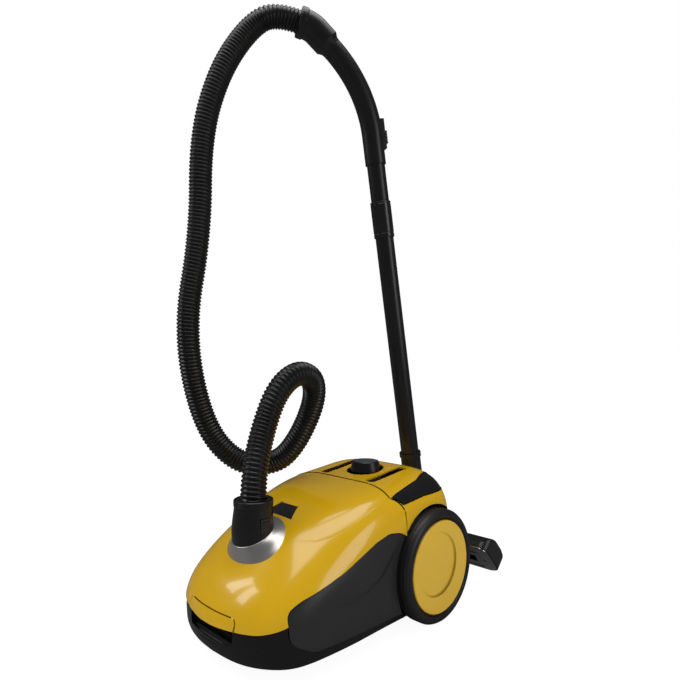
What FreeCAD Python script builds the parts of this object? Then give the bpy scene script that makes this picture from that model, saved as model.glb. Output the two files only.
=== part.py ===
import FreeCAD, Part
import math
import os
import re

import Sketcher
from FreeCAD import Placement, Rotation, Vector

# Sledge vacuum cleaner with its hose, grip, wand and floor nozzle, the wand
# parked upright behind the body. Millimetres, +Z up, nose towards -Y. Lengths
# along Y are given from the middle of the body and moved by frame_shift, so
# that the origin lies on the floor under the middle of the whole object.

os.makedirs("parts", exist_ok=True)
doc = FreeCAD.newDocument("sledge_vacuum")

SIZES = {
    "frame_shift": -61.26,
    # Body shell
    "half_width": 125.0,
    "nose_reach": 199.0,
    "tail_reach": 200.0,
    "deck_height": 220.0,
    "belly_height": 12.0,
    "shell_wall": 3.0,
    "seam_gap": 0.6,
    "seam_y": 53.0,
    "hinge_y": 100.0,
    "hinge_height": 210.6,
    "hinge_x": 84.0,
    "hinge_inner_radius": 52.0,
    "hinge_outer_radius": 57.0,
    "hinge_width": 6.0,
    "hinge_reach": 98.0,
    "guide_reach": 103.0,
    "guide_wall": 3.0,
    "bulkhead_front": 56.5,
    "bulkhead_rear": 59.5,
    "panel_proud": 1.0,
    "panel_depth": 1.6,
    "panel_gap": 0.3,
    "chamber_half_width": 119.0,
    "chamber_floor": 17.0,
    "bay_half_width": 108.0,
    "bay_floor": 20.0,
    "bay_front": 49.0,
    "bay_rear": 190.0,
    "chamber_rear": 41.0,
    # Foot switches
    "switch_foot": 188.4,
    "switch_gap": 0.4,
    "switch_front_gap": 2.6,
    # Rear wheels
    "wheel_y": 127.0,
    "wheel_radius": 86.0,
    "wheel_outer_x": 143.0,
    "tyre_width": 30.0,
    "tyre_depth": 14.0,
    "well_clearance": 4.0,
    "well_x": 111.0,
    "cap_dome": 1.5,
    "cap_radius": 70.0,
    "axle_radius": 4.0,
    "running_gap": 0.05,
    # Front caster
    "caster_y": -135.0,
    "caster_recess_radius": 30.0,
    "caster_roof": 44.0,
    "caster_boss_top": 48.0,
    "caster_trail": 9.0,
    "caster_wheel_radius": 13.0,
    "caster_wheel_width": 15.0,
    "caster_pin_radius": 2.5,
    "fork_wall": 3.0,
    "fork_radius": 24.0,
    "fork_top": 43.7,
    "fork_plate": 3.7,
    # Suction dial
    "dial_y": 109.0,
    "dial_base": 214.6,
    "dial_height": 18.4,
    "dial_radius": 25.7,
    "dial_top_radius": 22.7,
    "dish_radius": 31.0,
    "dish_floor": 213.8,
    "spindle_radius": 3.0,
    # Air slots in the deck
    "slot_x": 51.0,
    "slot_width": 16.0,
    "slot_front": 61.0,
    "slot_rear": 146.0,
    "grille_drop": 4.4,
    "grille_thickness": 4.0,
    # Hose inlet
    "inlet_y": -121.0,
    "inlet_sink": 0.1,
    "inlet_tilt": 24.0,
    "cone_top_radius": 33.5,
    "cone_base_radius": 57.0,
    "cone_rise": 12.0,
    "cone_fall": 26.0,
    "sleeve_radius": 27.0,
    "sleeve_bore": 24.0,
    "connector_radius": 30.5,
    "connector_top_radius": 27.4,
    "connector_top": 199.0,
    "button_drop": 32.5,
    "button_height": 20.0,
    "button_width": 16.0,
    "button_gap": 0.5,
    "cuff_height": 10.0,
    "cuff_radius": 28.2,
    "fit_gap": 0.3,
    # Hose
    "hose_radius": 19.0,
    "hose_root_radius": 17.0,
    "hose_bore": 15.6,
    "hose_start": 204.0,
    # Wand, parked behind the body
    "wand_y": 229.0,
    "wand_z": 245.0,
    "wand_tilt": 10.3,
    "wand_radius": 16.25,
    "wand_wall": 1.6,
    "wand_foot": -70.0,
    "wand_top": 442.0,
    "socket_low": 385.0,
    "socket_top": 449.0,
    "socket_wall": 1.9,
    "neck_radius": 18.2,
    "neck_ring_radius": 19.8,
    "neck_ring_top": -12.0,
    "neck_ring_height": 8.0,
    "neck_foot": -130.0,
    # Grip
    "grip_turn": 30.0,
    "grip_radius": 18.3,
    "grip_stem_radius": 16.0,
    "grip_bore": 14.2,
    "grip_stem_low": 450.0,
    "grip_stem_top": 514.0,
    "grip_straight_top": 562.0,
    "grip_bend_radius": 240.0,
    "grip_bend": 40.0,
    "grip_neck": 34.0,
    "head_bend_radius": 45.0,
    "head_bend": 28.0,
    "head_radius": 23.5,
    "collar_radius": 25.2,
    "collar_length": 12.0,
    "collar_spigot": 20.0,
    "collar_gap": 0.9,
    "collar_seat": 2.0,
    # Floor nozzle, lying against its pivot
    "nozzle_tilt": -46.0,
    "nozzle_half_width": 140.0,
    "nozzle_rear": 14.0,
    "nozzle_front": 94.0,
    "nozzle_top": 19.0,
    "nozzle_sole": -9.0,
    "sole_thickness": 2.2,
    "barrel_radius": 9.0,
    "barrel_half": 14.7,
    "ear_wall": 9.0,
    "nozzle_pin_radius": 3.0,
    # Outlet of the mains cord at the back
    "outlet_x": 56.0,
    "outlet_z": 110.0,
    "outlet_radius": 9.0,
    "outlet_bore": 4.5,
    "outlet_length": 14.5,
    # Motor, reel and filters inside
    "motor_x": -42.0,
    "motor_z": 92.0,
    "motor_radius": 50.0,
    "fan_radius": 46.0,
    "shaft_radius": 4.0,
    "reel_x": 49.0,
    "reel_half": 25.0,
    "reel_radius": 54.0,
    "reel_core": 20.0,
    "reel_y": 118.0,
    "reel_z": 92.0,
    "reel_pin": 5.0,
}

sheet = doc.addObject("Spreadsheet::Sheet", "Sizes")
for row, (alias, number) in enumerate(SIZES.items(), 1):
    sheet.set("A%d" % row, alias)
    sheet.set("B%d" % row, str(number))
    sheet.setAlias("B%d" % row, alias)
doc.recompute()

pieces = []


def size(alias):
    """A driving dimension, read from the sheet."""
    return float(sheet.get(alias))


def formula(text):
    """The words of a formula as names of the sheet's cells."""
    return re.sub(r"[a-z]+_[a-z_]+", lambda word: "Sizes." + word.group(0), str(text))


def value(text):
    """The number that a formula gives now."""
    return float(sheet.evalExpression(formula(text)))


def place(obj, x="0", y="0", z="0", turn=None):
    """Puts an object at a point given by formulas, turned about it."""
    obj.Placement = Placement(Vector(0, 0, 0), turn or Rotation())
    obj.setExpression("Placement.Base.x", formula(x))
    obj.setExpression("Placement.Base.y", formula("(%s) + frame_shift" % y))
    obj.setExpression("Placement.Base.z", formula(z))


def plane(body, role):
    """One of a body's own origin planes."""
    return next(o for o in body.Origin.OriginFeatures if o.Role == role)


def new_sketch(body, name, role):
    """An empty sketch on one of the body's origin planes."""
    sketch = body.newObject("Sketcher::SketchObject", name)
    sketch.AttachmentSupport = [(plane(body, role), "")]
    sketch.MapMode = "FlatFace"
    return sketch


def fix(sketch, kind, index, point, text):
    """A dimension from the sketch's origin, bound to a formula."""
    number = sketch.addConstraint(
        Sketcher.Constraint(kind, -1, 1, index, point, value(text))
    )
    sketch.setExpression("Constraints[%d]" % number, formula(text))


def outline(body, name, role, corners):
    """A closed sketch of straight lines through corners given by formulas."""
    sketch = new_sketch(body, name, role)
    points = [Vector(value(a), value(b), 0) for a, b in corners]
    count = len(points)
    for i in range(count):
        sketch.addGeometry(Part.LineSegment(points[i], points[(i + 1) % count]))
    for i in range(count):
        sketch.addConstraint(Sketcher.Constraint("Coincident", i, 2, (i + 1) % count, 1))
    for i, (across, along) in enumerate(corners):
        fix(sketch, "DistanceX", i, 1, across)
        fix(sketch, "DistanceY", i, 1, along)
    return sketch


def circles(body, name, role, centres, radius):
    """A sketch of equal circles, their centres given by formulas."""
    sketch = new_sketch(body, name, role)
    for i, (across, along) in enumerate(centres):
        middle = Vector(value(across), value(along), 0)
        sketch.addGeometry(Part.Circle(middle, Vector(0, 0, 1), value(radius)))
        fix(sketch, "DistanceX", i, 3, across)
        fix(sketch, "DistanceY", i, 3, along)
        number = sketch.addConstraint(Sketcher.Constraint("Radius", i, value(radius)))
        sketch.setExpression("Constraints[%d]" % number, formula(radius))
    return sketch


def new_body(label):
    """A new sub-part made of sketches and features."""
    body = doc.addObject("PartDesign::Body", label)
    body.Label = label
    pieces.append(body)
    return body


def turned(label, profile):
    """A sub-part turned about Z from a half profile of radius and height."""
    body = new_body(label)
    sketch = outline(body, label + "_profile", "XZ_Plane", profile)
    turn = body.newObject("PartDesign::Revolution", label + "_turn")
    turn.Profile = sketch
    turn.ReferenceAxis = (sketch, ["V_Axis"])
    turn.Angle = 360
    return body


def padded(label, role, corners, length, both_ways=True):
    """A sub-part made by pushing a straight-sided outline out."""
    body = new_body(label)
    pad = body.newObject("PartDesign::Pad", label + "_pad")
    pad.Profile = outline(body, label + "_outline", role, corners)
    pad.setExpression("Length", formula(length))
    pad.Midplane = both_ways
    return body


def pocket(body, name, sketch, depth=None, back=False):
    """A cut with a sketch, right through both ways or to a depth."""
    cut = body.newObject("PartDesign::Pocket", name)
    cut.Profile = sketch
    cut.Reversed = back
    if depth is None:
        cut.Type = "ThroughAll"
        cut.Midplane = True
    else:
        cut.setExpression("Length", formula(depth))
    return cut


def shaped(label, shape):
    """A sub-part whose shape Part's functions made."""
    feature = doc.addObject("Part::Feature", label)
    feature.Label = label
    solids = shape.Solids
    feature.Shape = solids[0] if len(solids) == 1 else Part.makeCompound(solids)
    place(feature)
    pieces.append(feature)
    return feature


def box(x0, y0, z0, x1, y1, z1):
    """A block between two corners."""
    return Part.makeBox(x1 - x0, y1 - y0, z1 - z0, Vector(x0, y0, z0))


def rod(start, direction, radius, length):
    """A round bar from a point along a direction."""
    return Part.makeCylinder(radius, length, start, direction)


def rounded(points, radii, closed=True):
    """Straight runs joined by tangent arcs, as one wire."""
    count = len(points)
    ends = []
    for i, point in enumerate(points):
        if not closed and i in (0, count - 1):
            ends.append((point, None, point))
            continue
        before = (points[i - 1] - point).normalize()
        after = (points[(i + 1) % count] - point).normalize()
        inside = before.getAngle(after)
        if radii[i] < 1e-6:
            ends.append((point, None, point))
            continue
        cut = radii[i] / math.tan(inside / 2)
        middle = (before + after).normalize()
        centre = point + middle * (radii[i] / math.sin(inside / 2))
        ends.append((point + before * cut, centre - middle * radii[i], point + after * cut))
    edges = []
    for i in range(count):
        first, middle, last = ends[i]
        if middle is not None:
            edges.append(Part.Arc(first, middle, last).toShape())
        if closed or i < count - 1:
            following = ends[(i + 1) % count][0]
            if last.distanceToPoint(following) > 1e-6:
                edges.append(Part.LineSegment(last, following).toShape())
    return Part.Wire(edges)


def side_prism(outline_yz, radii, x_low, x_high):
    """A block with an outline drawn on the side view."""
    wire = rounded([Vector(x_low, y, z) for y, z in outline_yz], radii)
    return Part.Face(wire).extrude(Vector(x_high - x_low, 0, 0))


def plan_prism(outline_xy, radii, z_low, z_high):
    """A block with an outline drawn on the plan."""
    wire = rounded([Vector(x, y, z_low) for x, y in outline_xy], radii)
    return Part.Face(wire).extrude(Vector(0, 0, z_high - z_low))


def mirrored(shape):
    """The same shape on the other side of the middle plane."""
    return shape.mirror(Vector(0, 0, 0), Vector(1, 0, 0))


# Cross-sections of the body from nose to tail. Each gives its place as a share
# of the reach, its half width as a share of the half width, the heights of its
# crown, keel and widest line as shares of the deck's height, and how square
# its upper and lower halves are.
STATIONS = (
    (-1.000, 0.10, 0.286, 0.191, 0.236, 2.2, 2.2),
    (-0.990, 0.24, 0.318, 0.141, 0.236, 2.2, 2.4),
    (-0.965, 0.42, 0.364, 0.109, 0.241, 2.2, 2.8),
    (-0.920, 0.63, 0.427, 0.082, 0.250, 2.2, 3.4),
    (-0.844, 0.80, 0.514, 0.066, 0.273, 2.25, 4.2),
    (-0.744, 0.912, 0.586, 0.059, 0.300, 2.3, 5.5),
    (-0.603, 0.968, 0.686, 0.0545, 0.345, 2.35, 7.0),
    (-0.427, 0.992, 0.791, 0.0545, 0.391, 2.45, 8.0),
    (-0.201, 1.000, 0.877, 0.0545, 0.441, 3.1, 9.0),
    (0.050, 1.000, 0.927, 0.0545, 0.482, 4.2, 9.0),
    (0.265, 1.000, 0.952, 0.0545, 0.500, 5.0, 9.0),
    (0.500, 1.000, 0.975, 0.0545, 0.509, 5.0, 9.0),
    (0.725, 0.992, 1.000, 0.0545, 0.509, 4.6, 9.0),
    (0.860, 0.960, 0.991, 0.059, 0.500, 4.0, 8.0),
    (0.940, 0.888, 0.950, 0.073, 0.477, 3.3, 6.0),
    (0.980, 0.768, 0.882, 0.109, 0.455, 2.8, 4.0),
    (1.000, 0.608, 0.782, 0.182, 0.445, 2.4, 3.0),
)
SECTION_POINTS = 28


def section_points(station, inset):
    """Points round one cross-section of the body, drawn in by inset."""
    along, wide, crown, keel, waist, upper, lower = station
    reach = size("tail_reach") if along > 0 else size("nose_reach")
    y = along * (reach - inset)
    half = max(wide * size("half_width") - inset, 4.0)
    deck = size("deck_height")
    keel_height = size("belly_height") * keel / 0.0545
    middle = waist * deck
    points = []
    for i in range(SECTION_POINTS):
        angle = 2 * math.pi * (i + 0.5) / SECTION_POINTS
        rise = math.sin(angle)
        power = upper if rise > 0 else lower
        height = (crown * deck - inset - middle) if rise > 0 else (middle - keel_height - inset)
        x = half * math.copysign(abs(math.cos(angle)) ** (2 / power), math.cos(angle))
        z = middle + height * math.copysign(abs(rise) ** (2 / power), rise)
        points.append(Vector(x, y, z))
    return points


def shared_steps():
    """Steps along a section that every section's curve is drawn with."""
    pair = [section_points(STATIONS[i], 0.0) for i in (4, 10)]
    steps = [0.0]
    for i in range(SECTION_POINTS):
        after = (i + 1) % SECTION_POINTS
        steps.append(steps[-1] + sum(row[i].distanceToPoint(row[after]) for row in pair))
    return steps


hulls = {}


def hull(inset=0.0):
    """The body's outer form, or the same form drawn in by inset."""
    if inset not in hulls:
        steps = shared_steps()
        wires = []
        for station in STATIONS:
            curve = Part.BSplineCurve()
            curve.interpolate(
                Points=section_points(station, inset), PeriodicFlag=True, Parameters=steps
            )
            wires.append(Part.Wire(curve.toShape()))
        hulls[inset] = Part.makeLoft(wires, True, False)
    return hulls[inset]


def skin(outer_inset, inner_inset):
    """The layer of the body's form between two insets."""
    return hull(outer_inset).cut(hull(inner_inset))


# The line where the grey side panels end above, seen from the side. The black
# tub lies below it and the yellow shells above it.
PANEL_TOP = ((-155, 86), (-133, 105), (-68, 121.5), (-5, 147), (22, 153.5), (46, 150.5), (80, 134))
PANEL_FOOT = ((118, 100), (60, 33), (-115, 42), (-150, 58))
PANEL_RADII = (12, 60, 80, 60, 30, 40, 40, 0, 0, 40, 26)
NOSE_LINE = ((-230, 57), (-192, 59), (-172, 69))
TAIL_LINE = ((100, 124), (140, 100), (205, 92), (230, 92))
FAR = 400.0


def above_waist(lift):
    """Everything above the line between the tub and the yellow shells."""
    line = [(y, z + lift) for y, z in NOSE_LINE + PANEL_TOP[0:7] + TAIL_LINE]
    corners = line + [(230, FAR), (-230, FAR)]
    return side_prism(corners, [0] * len(corners), -FAR, FAR)


def front_of_seam(gap):
    """Everything in front of the seam where the cover is hinged."""
    y = size("seam_y") - gap
    corners = [(-FAR, 62 - gap), (-121, 62 - gap), (-107, 45 - gap), (-60, y), (60, y)]
    corners += [(107, 45 - gap), (121, 62 - gap), (FAR, 62 - gap), (FAR, -FAR), (-FAR, -FAR)]
    return plan_prism(corners, [0] * len(corners), -10, FAR)


def panel_outline(grow):
    """The side panel's outline as a block through the right-hand side."""
    solid = side_prism(PANEL_TOP + PANEL_FOOT, PANEL_RADII, 40, 200)
    if grow:
        face = solid.Faces[-1]
        wire = rounded([Vector(40, y, z) for y, z in PANEL_TOP + PANEL_FOOT], PANEL_RADII)
        wider = wire.makeOffset2D(grow)
        solid = Part.Face(wider).extrude(Vector(160, 0, 0))
    return solid


def wheel_wells(clearance):
    """The two round wells that the rear wheels stand in."""
    start = Vector(size("well_x"), size("wheel_y"), size("wheel_radius"))
    well = rod(start, Vector(1, 0, 0), size("wheel_radius") + clearance, 100)
    return well.fuse(mirrored(well))


def panel_pockets():
    """The shallow recesses that the two side panels lie in."""
    layer = skin(-6, size("panel_depth") + size("panel_gap"))
    seat = layer.common(panel_outline(size("panel_gap")))
    return seat.fuse(mirrored(seat))


def switch_field(grow, front):
    """The plan of a foot switch, pushed up through the right shoulder."""
    corners = [(108.6 - grow, 45.6 + front), (121 - grow, 61.5 + front), (140, 61.5 + front)]
    corners += [(140, 215), (66 - grow, 215), (74 - grow, 186), (97 - grow, 122)]
    return plan_prism(corners, [0] * len(corners), size("switch_foot"), FAR)


def inlet_axis():
    """The direction that the hose inlet faces."""
    tilt = math.radians(size("inlet_tilt"))
    return Vector(0, -math.sin(tilt), math.cos(tilt))


def crown_height(y):
    """The height of the body's form over its middle line."""
    share = y / (size("tail_reach") if y > 0 else size("nose_reach"))
    for low, high in zip(STATIONS, STATIONS[1:]):
        if low[0] <= share <= high[0]:
            part = (share - low[0]) / (high[0] - low[0])
            return size("deck_height") * (low[2] + part * (high[2] - low[2]))
    raise ValueError("no section at %s" % y)


def inlet_point(along=0.0):
    """A point on the hose inlet's axis, which starts at the hood's crown."""
    seat = Vector(0, size("inlet_y"), crown_height(size("inlet_y")) - size("inlet_sink"))
    return seat + inlet_axis() * along


def base_tub():
    """The black lower shell with its bag chamber and motor bay."""
    tub = hull().cut(above_waist(-size("seam_gap")))
    wide = size("chamber_half_width")
    floor = size("chamber_floor")
    rear = size("chamber_rear")
    upper = [(-wide, rear), (-wide, -105), (-108, -145), (-88, -168), (-50, -183)]
    upper += [(-x, y) for x, y in reversed(upper)]
    tub = tub.cut(plan_prism(upper, [4] + [20] * 8 + [4], 45, FAR))
    lower = [(-wide + 15, rear), (-wide + 15, -110), (-82, -148), (-50, -162)]
    lower += [(-x, y) for x, y in reversed(lower)]
    tub = tub.cut(plan_prism(lower, [4] + [20] * 6 + [4], floor, 46))
    bay_side = -size("bay_half_width")
    bay = [(bay_side, size("bay_front")), (bay_side, 165), (-90, size("bay_rear"))]
    bay += [(-x, y) for x, y in reversed(bay)]
    tub = tub.cut(plan_prism(bay, [4, 10, 10, 10, 10, 4], size("bay_floor"), FAR))
    up = Vector(0, 0, 1)
    foot = Vector(0, size("caster_y"), 0)
    boss_radius = size("caster_recess_radius") + 4
    boss = rod(foot + up * 16, up, boss_radius, size("caster_boss_top") - 16)
    tub = tub.fuse(boss.common(hull(1.0)))
    tub = tub.cut(rod(foot, up, size("caster_recess_radius"), size("caster_roof")))
    tub = tub.cut(rod(foot, up, size("axle_radius") + size("running_gap"), 60))
    tub = tub.cut(wheel_wells(size("well_clearance")))
    tub = tub.cut(panel_pockets())
    boss_start = Vector(size("bay_half_width") + 1, size("wheel_y"), size("wheel_radius"))
    boss_length = size("wheel_outer_x") - size("tyre_width") - size("fit_gap") - boss_start.x
    boss = rod(boss_start, Vector(1, 0, 0), 16, boss_length)
    tub = tub.fuse(boss).fuse(mirrored(boss))
    centre = Vector(0, size("wheel_y"), size("wheel_radius"))
    tub = tub.cut(rod(centre - Vector(200, 0, 0), Vector(1, 0, 0), size("axle_radius"), 400))
    recess = [(-215, 39), (-192, 39), (-188, 45), (-188, 56), (-192, 58.5), (-215, 60)]
    finger = side_prism(recess, [0, 4, 4, 3, 3, 0], -48, 48)
    tub = tub.cut(finger)
    tub = tub.cut(box(-46, 30, 62, 46, 60, 128))
    tub = tub.cut(box(-84, 180, 50, -24, 210, 84))
    return shaped("base_tub", tub)


def front_cover():
    """The hinged yellow cover in front of the seam."""
    cover = skin(0, size("shell_wall")).common(above_waist(0.0))
    cover = cover.common(front_of_seam(size("seam_gap") / 2))
    cover = cover.cut(panel_pockets())
    cover = cover.cut(rod(inlet_point(-80), inlet_axis(), size("sleeve_radius") + 0.1, 120))
    cover = cover.cut(lens_field(0.2))
    cover = cover.cut(box(-47.5, -230, 40, 47.5, -150, 75.4))
    return shaped("front_cover", cover)


def cover_latch():
    """The pull flap at the nose that unlocks the cover."""
    flap = skin(0, 2.6).common(above_waist(0.3))
    return shaped("cover_latch", flap.common(box(-47, -230, 40, 47, -150, 74.9)))


def lens_field(grow):
    """The plan of the bag indicator behind the inlet."""
    right = [(17 + grow, -80 - grow), (12 + grow, -61 + grow)]
    corners = right + [(-x, y) for x, y in reversed(right)]
    return plan_prism(corners, [0] * 4, 100, FAR)


def bag_indicator():
    """The glossy window that shows when the bag is full."""
    return shaped("bag_indicator", skin(-1.6, 2.6).common(lens_field(0)))


def inlet_cone():
    """The silver cone round the hose inlet, with the sleeve inside it."""
    top = size("cone_rise")
    low = -size("cone_fall")
    height = top - low
    base_radius, top_radius = size("cone_base_radius"), size("cone_top_radius")
    flare = Part.makeCone(base_radius, top_radius, height, inlet_point(low), inlet_axis())
    flare = flare.cut(hull(-0.1))
    sleeve = rod(inlet_point(low), inlet_axis(), size("sleeve_radius"), height - 1)
    cone = flare.fuse(sleeve).cut(rod(inlet_point(-60), inlet_axis(), size("sleeve_bore"), 100))
    return shaped("inlet_cone", cone.cut(lens_field(0.3)).removeSplitter())


def inlet_seal():
    """The rubber ring between the sleeve and the bag's mouth."""
    outer = "sleeve_radius + 1.5"
    seal = turned("inlet_seal", (("sleeve_bore", "0"), (outer, "0"), (outer, "3"), ("sleeve_bore", "3")))
    seat = inlet_point(-size("cone_fall") - 3.1)
    place(seal, "0", repr(seat.y), repr(seat.z), Rotation(Vector(1, 0, 0), size("inlet_tilt")))


def bag_holder():
    """The plate that holds the bag's mouth, with its stem on the floor."""
    low = -size("cone_fall") - 6.0
    plate = Part.makeBox(92, 68, 2.4, Vector(-46, -34, 0))
    plate.Placement = Placement(inlet_point(low), Rotation(Vector(1, 0, 0), size("inlet_tilt")))
    stem = box(-8, -152, size("caster_boss_top"), 8, -139, 118)
    stem = stem.common(side_prism([(-160, 40), (-135, 40), (-135, 111), (-160, 100)], [0] * 4, -20, 20))
    holder = plate.fuse(stem).cut(rod(inlet_point(-60), inlet_axis(), size("sleeve_bore") - 2, 60))
    return shaped("bag_holder", holder)


def dust_bag():
    """The paper bag, filled."""
    bag = box(-78, -120, size("caster_boss_top") + 0.3, 78, 24, 100)
    return shaped("dust_bag", bag.makeFillet(20, bag.Edges))


def rear_deck():
    """The fixed yellow housing behind the seam."""
    deck = skin(0, size("shell_wall")).common(above_waist(0.0))
    deck = deck.cut(front_of_seam(-size("seam_gap") / 2))
    front, rear = size("bulkhead_front"), size("bulkhead_rear")
    bulkhead = hull(size("shell_wall") - 0.6).common(box(-113, front, 152.5, 113, rear, FAR))
    slit = size("hinge_width") / 2 + size("fit_gap")
    inner = size("hinge_inner_radius") - size("fit_gap")
    outer = size("hinge_outer_radius") + size("fit_gap")
    low = size("hinge_height") - math.sqrt(outer ** 2 - (size("hinge_y") - rear) ** 2)
    high = size("hinge_height") - math.sqrt(inner ** 2 - (size("hinge_y") - front) ** 2)
    for x in (-size("hinge_x"), size("hinge_x")):
        bulkhead = bulkhead.cut(box(x - slit, front - 5, low, x + slit, rear + 5, high))
    deck = deck.fuse(bulkhead)
    deck = deck.cut(wheel_wells(size("well_clearance"))).cut(panel_pockets())
    switches = switch_field(size("switch_gap"), -size("switch_gap"))
    deck = deck.cut(switches).cut(mirrored(switches))
    half = size("slot_width") / 2
    for side in (-1, 1):
        x = side * size("slot_x")
        deck = deck.cut(box(x - half, size("slot_front"), 190, x + half, size("slot_rear"), FAR))
    outlet = Vector(size("outlet_x"), size("bay_rear"), size("outlet_z"))
    deck = deck.cut(rod(outlet, Vector(0, 1, 0), size("outlet_radius"), 30))
    spindle = Vector(0, size("dial_y"), 150)
    dish = Vector(0, size("dial_y"), size("dish_floor"))
    deck = deck.cut(rod(dish, Vector(0, 0, 1), size("dish_radius"), 30))
    deck = deck.cut(rod(spindle, Vector(0, 0, 1), size("spindle_radius") + 1.5, 100))
    return shaped("rear_deck", deck)


def side_panel():
    """The grey panel of the right side; its mirror is the left one."""
    layer = skin(-size("panel_proud"), size("panel_depth"))
    panel = layer.common(panel_outline(0.0))
    return panel.cut(wheel_wells(size("well_clearance")))


def foot_switch():
    """The black foot switch on the right shoulder."""
    layer = skin(0, 2.8)
    slope = side_prism([(40, 189.2), (240, 195.0), (240, FAR), (40, FAR)], [0] * 4, 0, FAR)
    return layer.common(switch_field(0, size("switch_front_gap"))).common(slope)


def deck_grille(label, x):
    """A louvred insert below one of the deck's air slots."""
    rise = "(deck_height - hinge_height) / (slot_rear - slot_front)"
    low = "hinge_height - grille_drop"
    high = "deck_height - grille_drop - 0.3"
    corners = (
        ("slot_front + 0.4", low + " - grille_thickness"),
        ("slot_rear - 0.4", high + " - grille_thickness"),
        ("slot_rear - 0.4", high),
        ("slot_front + 0.4", low),
    )
    body = padded(label, "YZ_Plane", corners, "slot_width + 1.6")
    cut = pocket(body, label + "_gap", outline(body, label + "_gap_outline", "XY_Plane", (
        ("-slot_width / 2 + 1.5", "slot_front + 4"),
        ("slot_width / 2 - 1.5", "slot_front + 4"),
        ("slot_width / 2 - 1.5", "slot_front + 8"),
        ("-slot_width / 2 + 1.5", "slot_front + 8"),
    )))
    row_of_gaps = body.newObject("PartDesign::LinearPattern", label + "_gaps")
    row_of_gaps.Originals = [cut]
    row_of_gaps.Direction = (cut.Profile[0], ["V_Axis"])
    row_of_gaps.setExpression("Length", formula("slot_rear - slot_front - 13"))
    row_of_gaps.Occurrences = 10
    body.Tip = row_of_gaps
    place(body, x)
    return body


def rear_wheel(side, sign):
    """Tyre, hub and cap of one rear wheel, turned about its axle."""
    turn = Rotation(Vector(0, 1, 0), 90 * sign)
    rim = "wheel_radius - tyre_depth"
    tyre = turned("tyre_" + side, (
        (rim, "-tyre_width"),
        ("wheel_radius - 5", "-tyre_width"),
        ("wheel_radius", "-tyre_width + 5"),
        ("wheel_radius", "-7"),
        ("wheel_radius - 2", "-2.5"),
        ("wheel_radius - 6", "0"),
        (rim + " + 3", "0"),
        (rim, "-2.5"),
    ))
    hub = turned("wheel_hub_" + side, (
        ("axle_radius + running_gap", "-tyre_width"),
        ("20", "-tyre_width"),
        ("20", "-tyre_width + 8"),
        (rim + " - running_gap", "-tyre_width + 8"),
        (rim + " - running_gap", "-6"),
        ("cap_radius - 4", "-6"),
        ("cap_radius - 4", "-8"),
        ("0", "-8"),
        ("0", "-11"),
        ("axle_radius + running_gap", "-11"),
    ))
    cap = turned("wheel_cap_" + side, (
        ("0", "-6"),
        ("cap_radius", "-6"),
        ("cap_radius", "-1"),
        ("cap_radius - 3", "0.2"),
        ("cap_radius - 9", "-0.6"),
        ("cap_radius / 2", "cap_dome - 0.6"),
        ("0", "cap_dome"),
    ))
    for body in (tyre, hub, cap):
        place(body, "%d * wheel_outer_x" % sign, "wheel_y", "wheel_radius", turn)


def wheel_axles():
    """The two stub axles fixed in the tub's side walls."""
    start = Vector(size("bay_half_width"), size("wheel_y"), size("wheel_radius"))
    length = size("wheel_outer_x") - 12 - start.x
    stub = rod(start, Vector(1, 0, 0), size("axle_radius"), length)
    return shaped("wheel_axles", Part.makeCompound([stub, mirrored(stub)]))


def caster():
    """The front caster: fork, roller and its pin."""
    inner = size("caster_wheel_width") / 2 + 0.8
    outer = inner + size("fork_wall")
    top = size("fork_top")
    plate = top - size("fork_plate")
    kingpin = Vector(0, size("caster_y"), plate)
    wheel = Vector(0, size("caster_y") + size("caster_trail"), size("caster_wheel_radius"))
    fork = rod(kingpin, Vector(0, 0, 1), size("fork_radius"), size("fork_plate"))
    pin_length = size("caster_boss_top") - plate - size("fit_gap")
    fork = fork.fuse(rod(kingpin, Vector(0, 0, 1), size("axle_radius"), pin_length))
    corners = [(-16, plate + 1), (17.5, plate + 1), (16, 6), (2, 6), (-16, 26)]
    cheek = side_prism(corners, [0, 0, 6.4, 6.4, 10], inner, outer)
    cheek.translate(Vector(0, size("caster_y"), 0))
    fork = fork.fuse(cheek).fuse(mirrored(cheek))
    bore = rod(wheel - Vector(40, 0, 0), Vector(1, 0, 0), size("caster_pin_radius"), 80)
    shaped("caster_fork", fork.cut(bore))
    pin = rod(wheel - Vector(outer, 0, 0), Vector(1, 0, 0), size("caster_pin_radius"), 2 * outer)
    shaped("caster_pin", pin)
    roller = turned("caster_roller", (
        ("caster_pin_radius + running_gap", "-caster_wheel_width / 2"),
        ("caster_wheel_radius - 1.5", "-caster_wheel_width / 2"),
        ("caster_wheel_radius", "-caster_wheel_width / 2 + 1.5"),
        ("caster_wheel_radius", "caster_wheel_width / 2 - 1.5"),
        ("caster_wheel_radius - 1.5", "caster_wheel_width / 2"),
        ("caster_pin_radius + running_gap", "caster_wheel_width / 2"),
    ))
    place(roller, "0", "caster_y + caster_trail", "caster_wheel_radius", Rotation(Vector(0, 1, 0), 90))


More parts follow.
